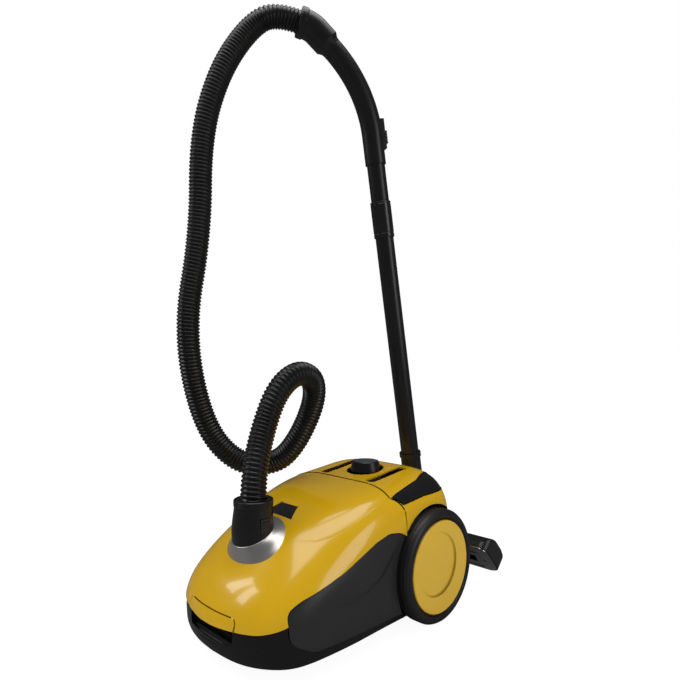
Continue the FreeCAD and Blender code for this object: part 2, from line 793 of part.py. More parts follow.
def suction_dial():
    """The round power dial with its spindle, and the switch box below."""
    dial = turned("suction_dial", (
        ("0", "-22"),
        ("spindle_radius", "-22"),
        ("spindle_radius", "0"),
        ("dial_radius - 1", "0"),
        ("dial_radius", "1.5"),
        ("dial_radius - 0.6", "6"),
        ("dial_top_radius", "dial_height - 1.5"),
        ("dial_top_radius - 1.5", "dial_height"),
        ("0", "dial_height"),
    ))
    place(dial, "0", "dial_y", "dial_base")
    control = padded("speed_control", "XY_Plane", (
        ("-18", "dial_y - 16"),
        ("18", "dial_y - 16"),
        ("18", "dial_y + 20"),
        ("-18", "dial_y + 20"),
    ), "14", False)
    centre = (("0", "dial_y"),)
    hole = circles(control, "spindle_circle", "XY_Plane", centre, "spindle_radius + running_gap")
    pocket(control, "spindle_hole", hole)
    place(control, "0", "0", "dish_floor - 18")


def connector():
    """The bent hose connector that plugs into the inlet."""
    low = inlet_point(size("cone_rise") + 0.2)
    foot = Part.Wire(Part.makeCircle(size("connector_radius"), low, inlet_axis()))
    crown_centre = Vector(0, -125, size("connector_top"))
    crown = Part.Wire(Part.makeCircle(size("connector_top_radius"), crown_centre, Vector(0, 0, 1)))
    solid = Part.makeLoft([foot, crown], True, True)
    spigot_length = size("cone_rise") + size("cone_fall") - 6
    spigot_radius = size("sleeve_bore") - size("running_gap")
    spigot = rod(low - inlet_axis() * spigot_length, inlet_axis(), spigot_radius, spigot_length)
    solid = solid.fuse(spigot)
    solid = solid.cut(rod(low - inlet_axis() * 60, inlet_axis(), size("hose_bore"), 66))
    solid = solid.cut(rod(Vector(0, -125, low.z + 2), Vector(0, 0, 1), size("hose_bore"), 60))
    solid = solid.cut(rod(Vector(0, -125, size("connector_top") - 8), Vector(0, 0, 1), 22.05, 20))
    gap = size("button_gap")
    low_z = size("connector_top") - size("button_drop") - gap
    high_z = low_z + size("button_height") + 2 * gap
    reach = size("button_width") / 2 + gap
    pocket_box = box(21, -125 - reach, low_z, 40, -125 + reach, high_z)
    solid = solid.cut(pocket_box).cut(mirrored(pocket_box))
    return shaped("hose_connector", solid)


def connector_button(side):
    """One of the two ribbed buttons that free the connector."""
    low = size("connector_top") - size("button_drop")
    reach = size("button_width") / 2
    block = box(24.5, -125 - reach, low, 29.0, -125 + reach, low + size("button_height"))
    for i in range(4):
        z = low + 3 + 4 * i
        block = block.cut(box(28.0, -140, z, 31, -110, z + 1.8))
    return block if side > 0 else mirrored(block)


def hose_cuff():
    """The swivel ring that the hose is screwed into."""
    cuff = turned("hose_cuff", (
        ("hose_bore", "-7.5"),
        ("22", "-7.5"),
        ("22", "0.3"),
        ("cuff_radius - 1", "0.3"),
        ("cuff_radius", "1.3"),
        ("cuff_radius", "cuff_height - 1.5"),
        ("cuff_radius - 1.5", "cuff_height"),
        ("hose_radius + fit_gap", "cuff_height"),
        ("hose_radius + fit_gap", "hose_start - connector_top"),
        ("hose_bore", "hose_start - connector_top"),
    ))
    place(cuff, "0", "-125", "connector_top")


# The hose's route from the connector to the collar, in the body's own lengths.
LOOP_ROUTE = (
    (0, -125, 204), (0, -125, 245), (-14, -97, 308), (-7, -76, 363), (-7, -36, 388), (-18, 7, 374),
    (-35, 22, 332), (-68, 12, 265), (-105, -3, 227), (-152, -51, 228), (-182, -99, 298), (-182.5, -116.5, 375),
)
RISE_ROUTE = ((-182.5, -116.5, 375), (-183, -134, 452), (-159, -119, 615), (-154, -122.5, 692.5))
TOP_ROUTE = ((-154, -122.5, 692.5), (-149, -126, 770), (-124, -108, 875), (-105, -63, 960), (-73, -32, 985))
RIB_PITCH = 12.6
RUN_SHARE = 0.45


def route_wire(route, label):
    """The route's straight runs joined by tangent arcs."""
    points = [Vector(*p) for p in route]
    radii = [0.0] * len(points)
    for i in range(1, len(points) - 1):
        before = points[i] - points[i - 1]
        after = points[i + 1] - points[i]
        turn = before.getAngle(after)
        radii[i] = RUN_SHARE * min(before.Length, after.Length) / math.tan(turn / 2)
    print(label, "bend radii", [round(r) for r in radii[1:-1]])
    return rounded(points, radii, closed=False)


def frames_along(wire, distances):
    """Places on a wire with a steady X axis, as (centre, direction, x)."""
    edges = wire.OrderedEdges
    ends = [0.0]
    for edge in edges:
        ends.append(ends[-1] + edge.Length)
    frames = []
    steady = None
    for distance in distances:
        index = 0
        while index < len(edges) - 1 and distance > ends[index + 1]:
            index += 1
        edge = edges[index]
        start = wire.OrderedVertexes[index].Point
        forward = edge.valueAt(edge.FirstParameter).distanceToPoint(start) < 1e-4
        travelled = min(max(distance - ends[index], 0.0), edge.Length)
        parameter = edge.getParameterByLength(travelled if forward else edge.Length - travelled)
        direction = edge.tangentAt(parameter)
        if not forward:
            direction = direction * -1
        if steady is None:
            steady = direction.cross(Vector(0, 1, 0))
        steady = (steady - direction * steady.dot(direction)).normalize()
        frames.append((edge.valueAt(parameter), direction, Vector(steady)))
    return frames


def ring(frame, radius):
    """A circle square to the route, its seam on the steady X axis."""
    centre, direction, steady = frame
    across = direction.cross(steady)
    matrix = FreeCAD.Matrix(
        steady.x, across.x, direction.x, centre.x,
        steady.y, across.y, direction.y, centre.y,
        steady.z, across.z, direction.z, centre.z,
        0, 0, 0, 1,
    )
    circle = Part.makeCircle(radius)
    circle.Placement = Placement(matrix)
    return Part.Wire(circle)


def ribbed_tube(label, route):
    """A stretch of ribbed hose with its bore, along a route."""
    wire = route_wire(route, label)
    length = wire.Length
    ribs = int(round(length / RIB_PITCH))
    pitch = length / ribs
    crest = size("hose_radius")
    root = size("hose_root_radius")
    places = []
    radii = []
    for i in range(ribs):
        for share, radius in ((0.0, root), (0.28, crest), (0.72, crest)):
            places.append((i + share) * pitch)
            radii.append(radius)
    places.append(length)
    radii.append(root)
    rings = [ring(f, r) for f, r in zip(frames_along(wire, places), radii)]
    outside = Part.makeLoft(rings, False, True)
    steps = max(2, int(length / 24))
    bore_places = [length * i / steps for i in range(steps + 1)]
    bores = [ring(f, size("hose_bore")) for f in frames_along(wire, bore_places)]
    inside = Part.makeLoft(bores, False, True)
    ends = []
    for outer, inner in ((rings[0], bores[0]), (rings[-1], bores[-1])):
        ends.append(Part.Face(outer).cut(Part.Face(inner)).Faces[0])
    shell = Part.makeShell(outside.Faces + inside.Faces + ends)
    shell.sewShape()
    solid = Part.makeSolid(Part.Shell(shell.Faces) if shell.ShapeType != "Shell" else shell)
    if solid.Volume < 0:
        solid.reverse()
    section_area = math.pi * ((0.64 * crest + 0.36 * root) ** 2 - size("hose_bore") ** 2)
    ratio = solid.Volume / (section_area * length)
    print(label, "ribs", ribs, "length", round(length), "volume ratio", round(ratio, 3))
    return shaped(label, solid)


def wand_axis():
    """The direction of the parked wand."""
    tilt = math.radians(size("wand_tilt"))
    return Vector(0, -math.sin(tilt), math.cos(tilt))


def wand_point(along, aside=0.0):
    """A point measured along the wand, and aside in the grip's plane."""
    turn = math.radians(size("grip_turn"))
    lean = Vector(-math.sin(turn), -math.cos(turn), 0)
    axis = wand_axis()
    lean = (lean - axis * lean.dot(axis)).normalize()
    return Vector(0, size("wand_y"), size("wand_z")) + axis * along + lean * aside


def grip_direction(angle):
    """The direction in the grip's plane at an angle from the wand."""
    turn = math.radians(angle)
    return (wand_point(math.cos(turn), math.sin(turn)) - wand_point(0)).normalize()


def tube(low, high, outer, inner):
    """A straight tube on the wand's axis."""
    body = rod(wand_point(low), wand_axis(), outer, high - low)
    return body.cut(rod(wand_point(low - 1), wand_axis(), inner, high - low + 2))


def pivot_point():
    """The nozzle's pivot, at the foot of the wand's axis."""
    return wand_point(-148.5)


def neck_elbow():
    """The nozzle's neck with the hook that parks it."""
    foot = size("neck_foot")
    top = size("neck_ring_top")
    neck = rod(wand_point(foot), wand_axis(), size("neck_radius"), top - foot)
    ring_height = size("neck_ring_height")
    rim = rod(wand_point(top - ring_height), wand_axis(), size("neck_ring_radius"), ring_height)
    neck = neck.fuse(rim)
    narrow = size("barrel_radius") + 2
    taper = Part.makeCone(narrow, size("neck_radius"), 16, wand_point(foot - 15), wand_axis())
    across = Vector(1, 0, 0)
    half = size("barrel_half")
    barrel = rod(pivot_point() - across * half, across, size("barrel_radius"), 2 * half)
    neck = neck.fuse(taper).fuse(barrel)
    web = box(-3, -41, -8, 3, -10, 26)
    flange = box(-6, -44, -8, 6, -41, 26)
    hook = web.fuse(flange)
    hook.translate(wand_point(-120))
    neck = neck.fuse(hook)
    socket_radius = size("wand_radius") + size("running_gap")
    neck = neck.cut(rod(wand_point(size("wand_foot") - 0.3), wand_axis(), socket_radius, 200))
    neck = neck.cut(rod(wand_point(foot + 12), wand_axis(), 14.0, 60))
    hole_radius = size("nozzle_pin_radius") + size("running_gap")
    neck = neck.cut(rod(pivot_point() - across * 60, across, hole_radius, 120))
    return shaped("neck_elbow", neck)


def park_bracket():
    """The slotted holder on the back that takes the neck's hook."""
    block = side_prism([(200, 98), (224, 102), (222, 136), (200, 140)], [0, 3, 3, 0], -15, 15)
    slot = box(-6.3, -44.3, -8.3, 6.3, -40.6, 80).fuse(box(-3.3, -42, -8.3, 3.3, -8, 80))
    slot.translate(wand_point(-120))
    return shaped("park_bracket", block.cut(slot))


def wand_tube():
    """The black plastic wand."""
    outer = size("wand_radius")
    return shaped("wand_tube", tube(size("wand_foot"), size("wand_top"), outer, outer - size("wand_wall")))


def wand_socket():
    """The wider sleeve at the wand's top that takes the grip."""
    inner = size("wand_radius") + size("running_gap")
    sleeve = tube(size("socket_low"), size("socket_top"), inner + size("socket_wall"), inner)
    return shaped("wand_socket", sleeve)


def grip_path(start):
    """The grip's middle line, from a height on the wand to its head."""
    radius = size("grip_bend_radius")
    bend = size("grip_bend")
    low = size("grip_straight_top")
    centre = wand_point(low, radius)
    middle = centre - (grip_direction(90 + bend / 2)) * radius
    end = centre - grip_direction(90 + bend) * radius
    edges = [Part.LineSegment(wand_point(start), wand_point(low)).toShape()]
    edges.append(Part.Arc(wand_point(low), middle, end).toShape())
    neck_end = end + grip_direction(bend) * size("grip_neck")
    edges.append(Part.LineSegment(end, neck_end).toShape())
    return edges, neck_end


def head_end():
    """Where the grip's head ends and the collar starts."""
    neck_end = grip_path(size("grip_stem_top"))[1]
    bend = size("grip_bend")
    full = bend + size("head_bend")
    radius = size("head_bend_radius")
    centre = neck_end + grip_direction(bend + 90) * radius
    middle = centre - grip_direction(90 + bend + size("head_bend") / 2) * radius
    last = centre - grip_direction(90 + full) * radius
    return neck_end, middle, last


def piped(edges, radius, start, direction):
    """A round bar swept along joined edges."""
    path = Part.Wire(edges)
    profile = Part.Wire(Part.makeCircle(radius, start, direction))
    return path.makePipeShell([profile], True, False)


def hand_grip():
    """The bent grip with its thicker head."""
    edges = grip_path(size("grip_stem_top"))[0]
    grip = piped(edges, size("grip_radius"), wand_point(size("grip_stem_top")), wand_axis())
    stem_low = size("socket_top") - 26
    stem_length = size("grip_stem_top") - size("grip_stem_low") + 1
    stem = rod(wand_point(size("grip_stem_low")), wand_axis(), size("grip_stem_radius"), stem_length)
    spigot_radius = size("wand_radius") - size("wand_wall") - size("running_gap")
    spigot = rod(wand_point(stem_low - 4), wand_axis(), spigot_radius, size("grip_stem_low") - stem_low + 5)
    first, middle, last = head_end()
    bend = size("grip_bend")
    head_start = first - grip_direction(bend) * 24
    head_edges = [Part.LineSegment(head_start, first).toShape(), Part.Arc(first, middle, last).toShape()]
    head = piped(head_edges, size("head_radius"), head_start, grip_direction(bend))
    ahead = grip_direction(bend)
    shoulder = Part.makeCone(size("grip_radius"), size("head_radius"), 8, head_start - ahead * 8, ahead)
    grip = grip.fuse(stem).fuse(spigot).fuse(head).fuse(shoulder)
    pad = Part.makeBox(15, 11, 52, Vector(-7.5, -5.5, -26))
    outward = Rotation(Vector(1, 0, 0), size("wand_tilt"))
    turn = Rotation(wand_axis(), -size("grip_turn")).multiply(outward)
    pad.Placement = Placement(wand_point(566, -16.8), turn)
    grip = grip.fuse(pad)
    bore_edges = grip_path(stem_low - 6)[0]
    bore_edges.append(Part.Arc(first, middle, last).toShape())
    bore = piped(bore_edges, size("grip_bore"), wand_point(stem_low - 6), wand_axis())
    grip = grip.cut(bore)
    away = grip_direction(bend + size("head_bend"))
    seat = rod(last - away * 8, away, size("collar_spigot") + size("running_gap"), 12)
    return shaped("hand_grip", grip.cut(seat))


def air_slider():
    """The ribbed slider that opens the grip's air valve."""
    slider = Part.makeBox(12, 3.4, 22, Vector(-6, -1.7, -11))
    for i in range(4):
        slider = slider.cut(Part.makeBox(20, 1.0, 2.0, Vector(-10, -2.0, -8 + 4.6 * i)))
    outward = Rotation(Vector(1, 0, 0), size("wand_tilt"))
    turn = Rotation(wand_axis(), -size("grip_turn")).multiply(outward)
    turn = turn.multiply(Rotation(Vector(0, 0, 1), 180))
    slider = slider.transformed(Placement(wand_point(560, -24.3), turn).toMatrix(), True)
    return shaped("air_slider", slider)


def hose_collar():
    """The swivel collar between the hose and the grip's head."""
    first, middle, last = head_end()
    away = grip_direction(size("grip_bend") + size("head_bend"))
    gap = size("fit_gap")
    ring_body = rod(last + away * gap, away, size("collar_radius"), size("collar_length") - gap)
    spigot = rod(last - away * 7.7, away, size("collar_spigot"), 10)
    collar = ring_body.fuse(spigot)
    collar = collar.cut(rod(last - away * 20, away, size("hose_bore"), 60))
    seat = last + away * (size("collar_seat") - size("running_gap"))
    collar = collar.cut(rod(seat, away, size("hose_radius") + size("collar_gap"), 60))
    return shaped("hose_collar", collar)


def collar_route_end():
    """The hose's last two route points, square to the collar."""
    first, middle, last = head_end()
    away = grip_direction(size("grip_bend") + size("head_bend"))
    end = last + away * size("collar_seat")
    return tuple(end + away * 50), tuple(end)


def nozzle_place(feature):
    """Turns a nozzle piece, drawn flat round its pivot, into its place."""
    foot = pivot_point()
    place(feature, "0", repr(foot.y), repr(foot.z), Rotation(Vector(1, 0, 0), size("nozzle_tilt")))


def nozzle_profile(rear, front, top, sole):
    """The nozzle's side view: low at the rear, rounded to the front."""
    back_edge = [(rear, sole), (rear, 0), (rear + 9, top - 4), (rear + 22, top)]
    return back_edge + [(front - 32, top), (front - 14, top - 5), (front - 3, 4), (front, sole)]


def nozzle_shell():
    """The nozzle's black housing with ears for the pivot."""
    half = size("nozzle_half_width")
    rear, front = size("nozzle_rear"), size("nozzle_front")
    top, sole = size("nozzle_top"), size("nozzle_sole")
    shell = side_prism(nozzle_profile(rear, front, top, sole), [0, 5, 8, 12, 16, 20, 14, 0], -half, half)
    corners = [(-half, rear), (half, rear), (half, front), (-half, front)]
    shell = shell.common(plan_prism(corners, [14, 14, 22, 22], sole - 1, top + 1))
    ear_start = size("barrel_half") + size("fit_gap")
    ear_wall = size("ear_wall")
    ear = rod(Vector(ear_start, 0, 0), Vector(1, 0, 0), size("barrel_radius"), ear_wall)
    ear = ear.fuse(box(ear_start, 0, sole, ear_start + ear_wall, rear + 4, 6))
    shell = shell.fuse(ear).fuse(mirrored(ear))
    shell = shell.cut(rod(Vector(-60, 0, 0), Vector(1, 0, 0), size("nozzle_pin_radius"), 120))
    shell = shell.cut(box(-105, 49, sole - 1, 105, 69, 6))
    shell = shell.cut(box(-29, 39, 11, 29, 67, 40))
    shell = shell.cut(rod(Vector(-33, 53, 16), Vector(1, 0, 0), 2.05, 66))
    for y in (34.7, 79.7):
        shell = shell.cut(box(-112.3, y - 0.3, sole - 1, 112.3, y + 5.3, 4))
    for x in (-100, 100):
        shell = shell.cut(rod(Vector(x - 6, 24, -7), Vector(1, 0, 0), 6.2, 12))
        shell = shell.cut(rod(Vector(x - 9, 24, -7), Vector(1, 0, 0), 1.25, 18))
    feature = shaped("nozzle_shell", shell)
    nozzle_place(feature)


def sole_plate():
    """The steel plate under the nozzle with its slots."""
    half = size("nozzle_half_width") - 3
    rear, front = size("nozzle_rear") + 3, size("nozzle_front") - 3
    sole = size("nozzle_sole")
    corners = [(-half, rear), (half, rear), (half, front), (-half, front)]
    plate = plan_prism(corners, [12, 12, 20, 20], sole - size("sole_thickness"), sole)
    plate = plate.cut(box(-105, 49, sole - 9, 105, 69, 0))
    for y in (34.7, 79.7):
        plate = plate.cut(box(-112.3, y - 0.3, sole - 9, 112.3, y + 5.3, 0))
    for x in (-100, 100):
        plate = plate.cut(box(x - 6.5, 17, sole - 9, x + 6.5, 31, 0))
    for x in (-122, 122):
        plate = plate.cut(rod(Vector(x, 59, sole - 9), Vector(0, 0, 1), 2.6, 20))
    feature = shaped("sole_plate", plate)
    nozzle_place(feature)


def nozzle_small_parts():
    """Pivot pin, bristle strips, rocker pedal and rollers of the nozzle."""
    reach = size("barrel_half") + 0.3 + size("ear_wall")
    pin = rod(Vector(-reach, 0, 0), Vector(1, 0, 0), size("nozzle_pin_radius"), 2 * reach)
    nozzle_place(shaped("nozzle_pin", pin))
    sole = size("nozzle_sole") - size("sole_thickness")
    strips = [box(-112, y, sole + 0.4, 112, y + 5, -1.6) for y in (34.7, 79.7)]
    nozzle_place(shaped("bristle_strips", Part.makeCompound(strips)))
    rocker_outline = [(40.5, 15.4), (53, 13.4), (65.5, 15.4), (66.0, 20.5), (53, 22.0), (40, 20.5)]
    rocker = side_prism(rocker_outline, [1, 8, 1, 2, 30, 2], -28.5, 28.5)
    rocker = rocker.fuse(rod(Vector(-32.7, 53, 16), Vector(1, 0, 0), 2.0, 65.4))
    nozzle_place(shaped("brush_pedal", rocker))
    rollers = []
    for x in (-100, 100):
        wheel = rod(Vector(x - 5, 24, -7), Vector(1, 0, 0), 5.2, 10)
        rollers.append(wheel.fuse(rod(Vector(x - 8.7, 24, -7), Vector(1, 0, 0), 1.2, 17.4)))
    nozzle_place(shaped("nozzle_rollers", Part.makeCompound(rollers)))


def motor_parts():
    """Motor, fan, fan cover, seal and cradle in the motor bay."""
    back = Rotation(Vector(1, 0, 0), -90)
    seal = turned("motor_seal", (("38", "0"), ("motor_radius", "0"), ("motor_radius", "6"), ("38", "6")))
    place(seal, "motor_x", "bay_front + fit_gap", "motor_z", back)
    cover = turned("fan_cover", (
        ("25", "0"), ("motor_radius", "0"), ("motor_radius", "18"),
        ("motor_radius - 2", "18"), ("motor_radius - 2", "2"), ("25", "2"),
    ))
    place(cover, "motor_x", "bay_front + 6 + 2 * fit_gap", "motor_z", back)
    fan = turned("fan_rotor", (
        ("0", "5"), ("12", "5"), ("fan_radius", "7"), ("fan_radius", "14"),
        ("shaft_radius", "14"), ("shaft_radius", "40"), ("0", "40"),
    ))
    place(fan, "motor_x", "bay_front + 6 + 2 * fit_gap", "motor_z", back)
    motor = turned("motor_housing", (
        ("0", "45"), ("shaft_radius + running_gap", "45"),
        ("shaft_radius + running_gap", "18"), ("motor_radius", "18"),
        ("motor_radius", "30"), ("motor_radius - 8", "34"),
        ("motor_radius - 8", "72"), ("motor_radius - 22", "80"), ("0", "80"),
    ))
    place(motor, "motor_x", "bay_front + 6 + 2 * fit_gap", "motor_z", back)
    y = size("bay_front") + 6.6 + 40
    x, z = size("motor_x"), size("motor_z")
    cradle = box(x - 34, y, size("bay_floor"), x + 34, y + 26, z - 20)
    hollow_radius = size("motor_radius") - 8 + size("fit_gap")
    hollow = rod(Vector(x, y - 5, z), Vector(0, 1, 0), hollow_radius, 60)
    shaped("motor_cradle", cradle.cut(hollow))
    shaped("motor_filter", box(-45.7, size("chamber_rear") + 0.5, 62.3, 45.7, size("bay_front"), 127.7))


def reel_parts():
    """The drum of the cord rewinder on its pin."""
    drum = turned("cord_reel", (
        ("reel_pin + running_gap", "-reel_half"), ("reel_radius", "-reel_half"),
        ("reel_radius", "-reel_half + 2"),
        ("reel_core", "-reel_half + 2"), ("reel_core", "reel_half - 2"), ("reel_radius", "reel_half - 2"),
        ("reel_radius", "reel_half"), ("reel_pin + running_gap", "reel_half"),
    ))
    turn = Rotation(Vector(0, 1, 0), 90)
    place(drum, "reel_x", "reel_y", "reel_z", turn)
    pin = turned("reel_pin", (
        ("0", "-reel_half - 4"), ("reel_pin + 3", "-reel_half - 4"),
        ("reel_pin + 3", "-reel_half - 0.3"), ("reel_pin", "-reel_half - 0.3"),
        ("reel_pin", "reel_half + 0.3"), ("reel_pin + 6", "reel_half + 0.3"),
        ("reel_pin + 6", "bay_half_width - reel_x - fit_gap"),
        ("0", "bay_half_width - reel_x - fit_gap"),
    ))
    place(pin, "reel_x", "reel_y", "reel_z", turn)


def rear_parts():
    """Exhaust filter and grille, and the cord outlet, in the tub's back."""
    shaped("exhaust_filter", box(-84, 176, 44, -20, size("bay_rear") - 0.3, 89))
    grille = box(-83.7, size("bay_rear"), 50.3, -24.3, size("bay_rear") + 3, 83.7)
    for i in range(7):
        z = 53.5 + 4.2 * i
        grille = grille.cut(box(-80, 185, z, -28, 200, z + 2.2))
    shaped("rear_grille", grille)
    outlet = Vector(size("outlet_x"), 0, size("outlet_z"))
    back = Vector(0, 1, 0)
    length = size("outlet_length")
    radius = size("outlet_radius")
    seat = size("tail_reach") - size("shell_wall") - size("fit_gap")
    gland = rod(outlet + back * (size("tail_reach") - length), back, radius - size("running_gap"), length)
    gland = gland.fuse(rod(outlet + back * (seat - 4), back, radius + 2, 4))
    shaped("cord_outlet", gland.cut(rod(outlet, back, size("outlet_bore"), 300)))


def hinge_track(inner, outer, x_low, x_high, reach):
    """Part of a ring round the cover's hinge axis, below the deck."""
    y, z = size("hinge_y"), size("hinge_height")
    start = Vector(x_low, y, z)
    ring_body = rod(start, Vector(1, 0, 0), outer, x_high - x_low)
    ring_body = ring_body.cut(rod(start, Vector(1, 0, 0), inner, x_high - x_low))
    turn = math.radians(reach)
    far = 2 * outer
    tail = (y - far * math.cos(turn), z - far * math.sin(turn))
    corners = [(y, z), (y - far, z), (y - far, z - far), (tail[0], z - far), tail]
    return ring_body.common(side_prism(corners, [0] * 5, x_low - 1, x_high + 1))


def hinge_parts():
    """The cover's two curved arms and the guides that they run in."""
    x = size("hinge_x")
    inner, outer = size("hinge_inner_radius"), size("hinge_outer_radius")
    half = size("hinge_width") / 2
    gap = size("fit_gap")
    wall = size("guide_wall")
    arm = hinge_track(inner, outer, x - half, x + half, size("hinge_reach"))
    arm = arm.common(hull(size("shell_wall")))
    shaped("hinge_arms", Part.makeCompound([arm, mirrored(arm)]))
    low, high = x - half - gap - wall, x + half + gap + wall
    guide = hinge_track(inner - gap - wall, outer + gap + wall, low, high, size("guide_reach"))
    guide = guide.common(box(low, size("bulkhead_rear"), 0, high, size("tail_reach"), FAR))
    guide = guide.cut(hinge_track(inner - gap, outer + gap, x - half - gap, x + half + gap, 180))
    shaped("hinge_guides", Part.makeCompound([guide, mirrored(guide)]))


base_tub()
front_cover()
cover_latch()
bag_indicator()
inlet_cone()
inlet_seal()
bag_holder()
dust_bag()
rear_deck()
hinge_parts()
panel = side_panel()
shaped("side_panel_right", panel)
shaped("side_panel_left", mirrored(panel))
switch = foot_switch()
shaped("power_switch", switch)
shaped("rewind_switch", mirrored(switch))
deck_grille("deck_grille_right", "slot_x")
deck_grille("deck_grille_left", "-slot_x")
rear_wheel("right", 1)
rear_wheel("left", -1)
wheel_axles()
caster()
suction_dial()
connector()
shaped("connector_button_right", connector_button(1))
shaped("connector_button_left", connector_button(-1))
hose_cuff()
ribbed_tube("hose_loop", LOOP_ROUTE)
ribbed_tube("hose_rise", RISE_ROUTE)
ribbed_tube("hose_top", TOP_ROUTE + collar_route_end()[1:])
neck_elbow()
park_bracket()
wand_tube()
wand_socket()
hand_grip()
air_slider()
hose_collar()
nozzle_shell()
sole_plate()
nozzle_small_parts()
motor_parts()
reel_parts()
rear_parts()

doc.recompute()
faults = [o.Label for o in doc.Objects if "Invalid" in o.State or "Error" in o.State]
faults += [p.Label for p in pieces if p.Shape.isNull() or not p.Shape.isValid()]
if faults:
    raise RuntimeError("these pieces are not sound: %s" % faults)
for piece in pieces:
    piece.Shape.exportStep("parts/%s.step" % piece.Label)
print("pieces", len(pieces))
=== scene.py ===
"""Looks of a sledge vacuum cleaner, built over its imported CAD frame.

Lengths are in millimetres from the middle of the body on the floor, and are
turned into the frame's metres when a piece is made.
"""

import logging
import math
from dataclasses import dataclass
from enum import Enum
from typing import Callable, Iterable, Sequence

import bpy
import numpy as np
from mathutils import Matrix, Vector
from mathutils.bvhtree import BVHTree


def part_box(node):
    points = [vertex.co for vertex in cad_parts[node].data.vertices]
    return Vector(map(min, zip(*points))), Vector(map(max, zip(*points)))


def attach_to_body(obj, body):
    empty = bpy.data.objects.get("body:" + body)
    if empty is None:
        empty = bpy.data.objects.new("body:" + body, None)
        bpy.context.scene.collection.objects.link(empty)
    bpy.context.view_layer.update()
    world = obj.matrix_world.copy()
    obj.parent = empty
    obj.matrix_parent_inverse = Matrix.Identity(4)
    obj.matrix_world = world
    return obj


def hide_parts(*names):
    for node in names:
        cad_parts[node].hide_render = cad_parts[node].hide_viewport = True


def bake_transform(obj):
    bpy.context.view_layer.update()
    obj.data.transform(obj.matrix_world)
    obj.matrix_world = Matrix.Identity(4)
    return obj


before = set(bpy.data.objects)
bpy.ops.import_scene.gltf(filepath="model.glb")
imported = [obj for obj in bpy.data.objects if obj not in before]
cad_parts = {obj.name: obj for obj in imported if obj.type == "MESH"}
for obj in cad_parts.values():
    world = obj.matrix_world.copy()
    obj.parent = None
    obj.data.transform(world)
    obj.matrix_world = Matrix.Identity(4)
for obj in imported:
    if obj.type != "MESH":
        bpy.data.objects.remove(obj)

LOG = logging.getLogger("scene")
Array = np.ndarray
Point = tuple[float, float, float]
Flat = tuple[float, float]
Distance = Callable[[Array], Array]
SHARP_COSINE = 0.86

SHIFT = np.array([0.0, -61.26, 0.0])
HALF_WIDTH, NOSE, TAIL, DECK, BELLY = 125.0, 199.0, 200.0, 220.0, 12.0
WHEEL_Y, WHEEL_RADIUS, WHEEL_FACE, WELL_X = 127.0, 86.0, 143.0, 111.0
INLET = np.array([0.0, -121.0, 150.0])
INLET_AXIS = np.array([0.0, -math.sin(math.radians(24)), math.cos(math.radians(24))])
WAND = np.array([0.0, 229.0, 245.0])
WAND_AXIS = np.array([0.0, -math.sin(math.radians(10.3)), math.cos(math.radians(10.3))])
UP = np.array([0.0, 0.0, 1.0])
FAR = 50.0


class Body(str, Enum):
    """Bodies of the mechanism that pieces ride on."""

    BASE = "base"
    COVER = "cover"
    LATCH = "latch"
    CUFF = "cuff"
    DIAL = "dial"
    POWER = "power"
    REWIND = "rewind"
    WAND = "wand"
    COLLAR = "collar"
    WHEEL_RIGHT = "wheel_right"
    WHEEL_LEFT = "wheel_left"


def add_node(tree: bpy.types.NodeTree, kind: str, values: dict[str, object] | None = None) -> bpy.types.Node:
    """Adds a shader node to a tree.

    Args:
        tree: The tree.
        kind: The node's type.
        values: Values of its inputs, by name.

    Returns:
        The node.
    """
    node = tree.nodes.new(kind)
    for name, value in (values or {}).items():
        node.inputs[name].default_value = value
    return node


def mix_shaders(
    tree: bpy.types.NodeTree,
    share: bpy.types.NodeSocket,
    first: bpy.types.NodeSocket,
    second: bpy.types.NodeSocket,
) -> bpy.types.NodeSocket:
    """Mixes two shaders.

    Args:
        tree: The tree that they are in.
        share: How much of the second one shows.
        first: Output of the first shader.
        second: Output of the second shader.

    Returns:
        Output of the mix.
    """
    mix = add_node(tree, "ShaderNodeMixShader")
    tree.links.new(share, mix.inputs["Fac"])
    tree.links.new(first, mix.inputs[1])
    tree.links.new(second, mix.inputs[2])
    return mix.outputs["Shader"]


class Grain(Enum):
    """Kinds of surface texture."""

    NONE = "none"
    MOULDED = "moulded"
    BRUSHED = "brushed"
    FIBRE = "fibre"


